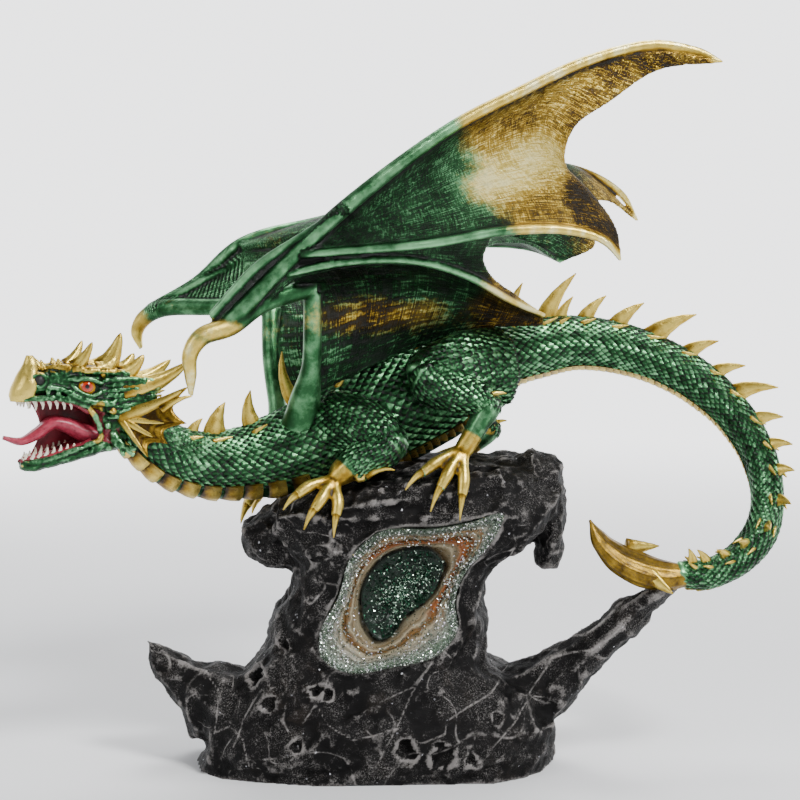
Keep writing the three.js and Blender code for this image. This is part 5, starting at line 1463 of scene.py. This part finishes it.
# The hollow's rim lies this far behind the rock's face, and its middle deeper by the dish.
HOLLOW_DEPTH, HOLLOW_DISH = 4.5, 6.2
GLITTER_COUNT = 5200


def rock_front(x, z):
    levels = np.asarray(ROCK_LEVELS, dtype=float)
    left, right, front, back = [np.interp(z, levels[:, 0], levels[:, k]) for k in (1, 2, 3, 4)]
    u = np.clip(np.abs(x - (left + right) / 2) / ((right - left) / 2), 0, 1)
    return (front + back) / 2 - (back - front) / 2 * (1 - u ** ROCK_BOXINESS) ** (1 / ROCK_BOXINESS)


def closed_outline(points, count):
    p = np.asarray(points, dtype=float)
    p = np.column_stack([p[:, 0], np.zeros(len(p)), p[:, 1]])
    looped = np.vstack([p[-3:], p, p[:3]])
    total = len(looped) - 1
    t = (3 + np.arange(count) * len(p) / count) / total
    return centripetal(looped, t)


def geode_cast():
    count = 200
    outer = closed_outline(GEODE_EDGE, count)
    inner = closed_outline(GEODE_HOLLOW, count)
    middle = inner.mean(axis=0)

    def depth_at(k):
        return np.interp(k, np.linspace(0, 1, len(GEODE_BANDS)), GEODE_BANDS)
    rings = [np.column_stack([outer[:, 0], np.full(count, -42.0 + GEODE_DEPTH), outer[:, 2]])]
    bands = [0.0]
    for k in np.linspace(1, 0, 120):
        q = inner + (outer - inner) * k ** 0.9
        wobble = 0.9 * noise(np.column_stack([q[:, 0], q[:, 2], np.full(count, 3.0)]), 9, 21)
        q = q + unit(outer - inner) * (wobble * math.sin(math.pi * k))[:, None]
        ripple = 0.32 * math.sin(k * 44) * math.sin(math.pi * min(k * 1.1, 1))
        y = rock_front(q[:, 0], q[:, 2]) - depth_at(k) - ripple
        rings.append(np.column_stack([q[:, 0], y, q[:, 2]]))
        bands.append(k)
    for k in np.linspace(0.96, 0.04, 40):
        q = middle + (inner - middle) * k
        y = rock_front(q[:, 0], q[:, 2]) + HOLLOW_DEPTH + HOLLOW_DISH * (1 - k ** 2.2)
        y = y + 1.0 * rough(np.column_stack([q[:, 0], y, q[:, 2]]), 3.0, 31) * min(1, (1 - k) * 5)
        rings.append(np.column_stack([q[:, 0], y, q[:, 2]]))
        bands.append(-(1 - k))
    points = np.vstack(rings + [rings[0].mean(axis=0)[None], rings[-1].mean(axis=0)[None]])
    band = np.concatenate([np.repeat(bands, count), [0.0, -1.0]])
    upper_right = 0.9 * (points[:, 0] - middle[0]) + 1.3 * (points[:, 2] - middle[2])
    warm_side = np.clip(0.5 + upper_right / 70, 0, 1)
    shell = Shell().add(points, ring_faces(len(rings), count), band=band, side=warm_side)
    return shell.object("geode"), outer, inner, middle, depth_at


def glitter_flakes(outer, inner, middle, depth_at):
    """Loose glitter: small closed four-sided chips, silver on the rim and green in the hollow."""
    shell = Shell()
    chips = []
    for _ in range(GLITTER_COUNT):
        angle = rng.integers(0, len(outer))
        kind = rng.random()
        if kind < 0.42:
            k = -rng.random() ** 0.6
            q = middle + (inner[angle] - middle) * (1 + k)
            y = rock_front(q[0], q[2]) + HOLLOW_DEPTH + HOLLOW_DISH * (1 - (1 + k) ** 2.2) - 0.3
            tone = 1.0
        else:
            k = 1 - rng.random() ** 1.3 * 0.7 if kind < 0.86 else rng.random()
            q = inner[angle] + (outer[angle] - inner[angle]) * k ** 0.9
            y = rock_front(q[0], q[2]) - depth_at(k) - 0.25
            tone = 0.0
        chips.append([q[0], y, q[2], tone])
    chips = np.asarray(chips, dtype=float)
    base = np.array([[1, 1, 1], [1, -1, -1], [-1, 1, -1], [-1, -1, 1]], dtype=float) * 0.26
    spin = rng.normal(size=(len(chips), 4))
    spin /= np.linalg.norm(spin, axis=1, keepdims=True)
    w, x, y, z = spin.T
    turn = np.stack([
        np.stack([1 - 2 * (y * y + z * z), 2 * (x * y - w * z), 2 * (x * z + w * y)], axis=-1),
        np.stack([2 * (x * y + w * z), 1 - 2 * (x * x + z * z), 2 * (y * z - w * x)], axis=-1),
        np.stack([2 * (x * z - w * y), 2 * (y * z + w * x), 1 - 2 * (x * x + y * y)], axis=-1)], axis=1)
    size = rng.uniform(0.8, 1.5, (len(chips), 1, 1))
    corners = chips[:, None, :3] + np.einsum("nij,kj->nki", turn, base) * size
    faces = (np.arange(len(chips))[:, None, None] * 4
             + np.array([(0, 1, 2), (0, 3, 1), (0, 2, 3), (1, 3, 2)])[None]).reshape(-1, 3)
    shell.add(corners.reshape(-1, 3), faces.tolist(), tone=np.repeat(chips[:, 3], 4),
              pick=np.repeat(rng.random(len(chips)), 4))
    return shell.object("geode_glitter", smooth=False)


def sparkle_normal(p, size, strength):
    """A normal that jumps from fleck to fleck, so that each catches the light its own way."""
    jump = p.vector("MULTIPLY_ADD", p.voronoi(size, "Color"), (strength,) * 3, (-strength / 2,) * 3)
    normal = p.tree.nodes.new("ShaderNodeNewGeometry").outputs["Normal"]
    return p.vector("NORMALIZE", p.vector("ADD", normal, jump))


def geode_paint():
    """Poured agate bands, rust and cream, under a rim of silver glitter; a dark green glitter hollow."""
    mat, tree, shader = material("geode_look")
    p = Paint(tree)
    band = p.value("band")
    side = p.value("side")
    cloud = p.noise(10, 3, 0.6)
    grain = p.noise(1.0, 4, 0.7)
    place = p.sum(band, p.sway(cloud, 0.26))
    place = p.sum(place, p.sway(p.noise(3, 3, 0.6), 0.07))
    cream, tan = (0.30, 0.255, 0.165), (0.15, 0.105, 0.05)
    warm = p.ramp(place, (0.0, (0.03, 0.028, 0.018)), (0.05, tan), (0.13, cream), (0.2, tan),
                  (0.28, (0.20, 0.055, 0.010)), (0.38, (0.27, 0.085, 0.014)), (0.45, (0.12, 0.045, 0.012)),
                  (0.52, cream), (0.6, (0.2, 0.11, 0.04)),
                  (0.68, (0.2, 0.19, 0.15)), (0.8, (0.07, 0.1, 0.07)), (1.0, (0.03, 0.045, 0.03)))
    cool = p.ramp(place, (0.0, (0.03, 0.03, 0.02)), (0.06, cream), (0.16, tan), (0.24, cream),
                  (0.32, (0.15, 0.07, 0.016)), (0.38, (0.19, 0.10, 0.025)), (0.44, cream),
                  (0.56, (0.26, 0.24, 0.18)), (0.7, (0.2, 0.21, 0.17)),
                  (0.86, (0.10, 0.15, 0.10)), (1.0, (0.04, 0.06, 0.04)))
    rings = p.blend(p.span(p.sum(side, p.sway(cloud, 0.5)), 0.35, 0.65), cool, warm)
    stripes = p.ramp(p.sum(p.times(place, 58), 0.0, "SINE"), (0.0, 0.55), (1.0, 1.0))
    rings = p.blend(0.7, rings, stripes, "MULTIPLY")
    dark = p.ramp(p.voronoi(1.0, "Color"), (0.2, (0.0008, 0.004, 0.002)), (0.9, (0.003, 0.018, 0.008)))
    wall = p.span(band, -0.03, 0.01)
    colour = p.blend(wall, dark, rings)
    rim = p.sum(p.span(place, 0.45, 0.85, 0.12, 0.62), p.times(side, -0.22))
    chance = p.sum(p.times(rim, wall), p.times(p.rest(wall), 0.13))
    pick = p.voronoi(0.55, "Color")
    clump = p.ramp(p.noise(3.5, 3, 0.6), (0.35, 0.25), (0.6, 1.0))
    speck = p.sum(p.sum(pick, p.times(chance, clump)), 1.0, "GREATER_THAN")
    tint = p.blend(p.ramp(pick, (0.5, 0.0), (0.9, 1.0)), (0.78, 0.80, 0.76), (0.62, 0.78, 0.66))
    colour = p.blend(p.times(speck, 0.9), colour, tint)
    p.link(colour, shader.inputs["Base Color"])
    p.link(p.times(speck, 0.95), shader.inputs["Metallic"])
    p.link(p.sum(p.span(grain, 0.3, 0.7, 0.2, 0.4), p.times(speck, -0.05)), shader.inputs["Roughness"])
    shader.inputs["Specular IOR Level"].default_value = 0.25
    jump = sparkle_normal(p, 0.55, 1.5)
    mix = tree.nodes.new("ShaderNodeMix")
    mix.data_type = "VECTOR"
    p.link(speck, mix.inputs["Factor"])
    p.tree.links.new(p.bump(p.sum(grain, p.voronoi(0.8)), 0.4, 0.35), mix.inputs[4])
    p.tree.links.new(jump, mix.inputs[5])
    p.tree.links.new(mix.outputs[1], shader.inputs["Normal"])
    return mat


def flake_paint():
    mat, tree, shader = material("glitter_look")
    p = Paint(tree)
    pick = p.value("pick")
    silver = p.ramp(pick, (0.0, (0.10, 0.15, 0.10)), (0.5, (0.34, 0.37, 0.31)), (0.8, (0.9, 0.92, 0.88)),
                    (0.95, (0.8, 0.75, 0.85)))
    green = p.ramp(pick, (0.0, (0.004, 0.03, 0.015)), (0.55, (0.02, 0.1, 0.05)), (0.8, (0.6, 0.75, 0.62)))
    p.link(p.blend(p.value("tone"), silver, green), shader.inputs["Base Color"])
    shader.inputs["Metallic"].default_value = 0.9
    shader.inputs["Roughness"].default_value = 0.22
    return mat


# ---- small materials -----------------------------------------------------------------------------

def plain_paint(name, low, high, roughness, size):
    mat, tree, shader = material(name)
    p = Paint(tree)
    cloud = p.noise(size, 4, 0.6)
    p.link(p.ramp(cloud, (0.3, low), (0.7, high)), shader.inputs["Base Color"])
    p.link(p.span(cloud, 0.3, 0.7, roughness, roughness + 0.12), shader.inputs["Roughness"])
    p.link(p.bump(p.noise(size * 0.4, 4, 0.6), 0.25, 0.3), shader.inputs["Normal"])
    return mat


def eye_paint():
    mat, tree, shader = material("eye_look")
    p = Paint(tree)
    iris = p.ramp(p.times(p.value("iris"), 0.2), (0.0, (0.003, 0.002, 0.002)), (0.2, (0.003, 0.002, 0.002)),
                  (0.25, (0.34, 0.008, 0.001)), (0.48, (0.48, 0.045, 0.001)), (0.56, (0.10, 0.015, 0.001)),
                  (0.62, (0.50, 0.22, 0.004)), (1.0, (0.4, 0.2, 0.01)))
    p.link(iris, shader.inputs["Base Color"])
    shader.inputs["Roughness"].default_value = 0.12
    shader.inputs["Coat Weight"].default_value = 0.6
    shader.inputs["Coat Roughness"].default_value = 0.05
    return mat


# ---- make the pieces -----------------------------------------------------------------------------

skin = dragon_skin()
skin_values(skin)
scales = dragon_scales(skin)
gold = dragon_gold()
teeth, gums, tongue, eyes, dark = mouth_parts()
head = head_skin()

finish_piece(skin, metallic_paint("dragon_body_look", -0.5, 0.45), "dragon_body")
finish_piece(head, metallic_paint("dragon_head_look", -0.35, 0.38, 0.4, mouth=True))
finish_piece(scales, metallic_paint("dragon_scale_look", -0.45, 1.0))
finish_piece(gold, metallic_paint("dragon_gold_look", -0.8, 0.8, 0.5))
for shell, part, look, low, high, roughness, size in (
        (teeth, "teeth", "tooth", (0.62, 0.55, 0.36), (0.82, 0.8, 0.7), 0.3, 2.0),
        (tongue, "tongue", "tongue", (0.20, 0.012, 0.028), (0.42, 0.045, 0.08), 0.26, 2.0),
        (gums, "mouth", "mouth", (0.10, 0.006, 0.012), (0.34, 0.03, 0.05), 0.3, 5),
        # Near-black nostril balls: painted shade for the nostril openings.
        (dark, "nostrils", "nostril", (0.002, 0.002, 0.002), (0.006, 0.005, 0.004), 0.5, 2.0)):
    finish_piece(shell.object("dragon_" + part), plain_paint(look + "_look", low, high, roughness, size))
finish_piece(eyes.object("dragon_eyes"), eye_paint())

left_wing = wing_cast(NEAR_WING, "wing_near")
wing_values(left_wing, NEAR_WING, near_gold, near_tone_and_painted_light)
right_wing = wing_cast(FAR_WING, "wing_far")
wing_values(right_wing, FAR_WING, far_gold, far_tone)
wing_look = wing_paint("wing_look")
finish_piece(left_wing, wing_look, "left_wing")
finish_piece(right_wing, wing_look, "right_wing")

rock = rock_cast()
finish_piece(rock, rock_paint(), "rock_base")
geode, outer, inner, middle, depth_at = geode_cast()
finish_piece(geode, geode_paint(), "geode_inset")
finish_piece(glitter_flakes(outer, inner, middle, depth_at), flake_paint())

# ---- floor, light and camera ---------------------------------------------------------------------

WALL_STRENGTH = 3.1
# The floor reaches this far each way, and fades into the wall between these distances, in metres.
FLOOR_REACH, FADE_FROM, FADE_TO = 4, 0.25, 1.7


def studio_wall(sky, way):
    """Colour and strength of the studio wall in a direction: pale ahead, dimmer behind the camera."""
    split = sky.tree.nodes.new("ShaderNodeSeparateXYZ")
    sky.tree.links.new(way, split.inputs[0])
    colour = sky.ramp(split.outputs["Z"], (0.16, (0.96, 0.965, 0.98)), (0.5, (0.13, 0.135, 0.145)))
    lean = sky.sum(split.outputs["Y"], sky.times(split.outputs["X"], 0.35))
    return colour, sky.ramp(sky.span(lean, -1.0, 1.0), (0.1, 0.27), (0.45, 0.36), (0.9, 1.0))


world = bpy.data.worlds.new("studio")
world.use_nodes = True
sky = Paint(world.node_tree)
wall, strength = studio_wall(sky, world.node_tree.nodes.new("ShaderNodeTexCoord").outputs["Generated"])
background = world.node_tree.nodes["Background"]
sky.link(wall, background.inputs["Color"])
sky.link(sky.times(strength, WALL_STRENGTH), background.inputs["Strength"])
bpy.context.scene.world = world

# The floor fades into the studio wall with distance, so that no edge shows.
mesh = bpy.data.meshes.new("floor")
mesh.from_pydata([(x * FLOOR_REACH, y * FLOOR_REACH, 0) for x, y in ((-1, -1), (1, -1), (1, 1), (-1, 1))],
                 [], [(0, 1, 2, 3)])
floor = bpy.data.objects.new("floor", mesh)
bpy.context.collection.objects.link(floor)
floor_mat, floor_tree, floor_shader = material("floor_look")
floor_shader.inputs["Base Color"].default_value = (0.86, 0.865, 0.88, 1)
floor_shader.inputs["Roughness"].default_value = 0.6
ground = Paint(floor_tree)
spot = ground.place()
wall, strength = studio_wall(ground, ground.vector("NORMALIZE", spot))
glow = floor_tree.nodes.new("ShaderNodeEmission")
ground.link(wall, glow.inputs["Color"])
ground.link(ground.times(strength, WALL_STRENGTH), glow.inputs["Strength"])
fade = floor_tree.nodes.new("ShaderNodeMixShader")
share = floor_tree.nodes.new("ShaderNodeMapRange")
share.interpolation_type = "SMOOTHSTEP"
for key, number in (("From Min", FADE_FROM), ("From Max", FADE_TO)):
    share.inputs[key].default_value = number
ground.link(ground.vector("LENGTH", spot), share.inputs["Value"])
ground.link(share.outputs["Result"], fade.inputs[0])
floor_tree.links.new(floor_shader.outputs[0], fade.inputs[1])
floor_tree.links.new(glow.outputs[0], fade.inputs[2])
floor_out = [n for n in floor_tree.nodes if n.type == "OUTPUT_MATERIAL"][0]
floor_tree.links.new(fade.outputs[0], floor_out.inputs[0])
floor.data.materials.append(floor_mat)
floor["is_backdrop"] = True


def area_light(name, place, target, size, power):
    light = bpy.data.lights.new(name, "AREA")
    light.energy = power
    light.size = size
    obj = bpy.data.objects.new(name, light)
    obj.location = place
    obj.rotation_euler = (Vector(target) - Vector(place)).to_track_quat("-Z", "Y").to_euler()
    bpy.context.collection.objects.link(obj)


area_light("key", (0.75, -0.8, 1.25), (0, 0, 0.18), 0.4, 30)
area_light("fill", (-1.1, -0.9, 0.9), (0, 0, 0.2), 0.7, 7)
area_light("top", (0.1, 0.6, 1.5), (0, 0, 0.2), 0.8, 20)

camera_data = bpy.data.cameras.new("camera")
camera_data.lens = 81
camera_data.sensor_width = 36
camera = bpy.data.objects.new("camera", camera_data)
bpy.context.collection.objects.link(camera)
camera.location = (0.0125, -0.8972, 0.2522)
camera.rotation_euler = (math.radians(90 - 4.5), 0, 0)
bpy.context.scene.camera = camera

seen_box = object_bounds()
({key: [list(map(float, corner)) for corner in box]
           for key, box in (("cad", cad_box), ("visual", seen_box))})
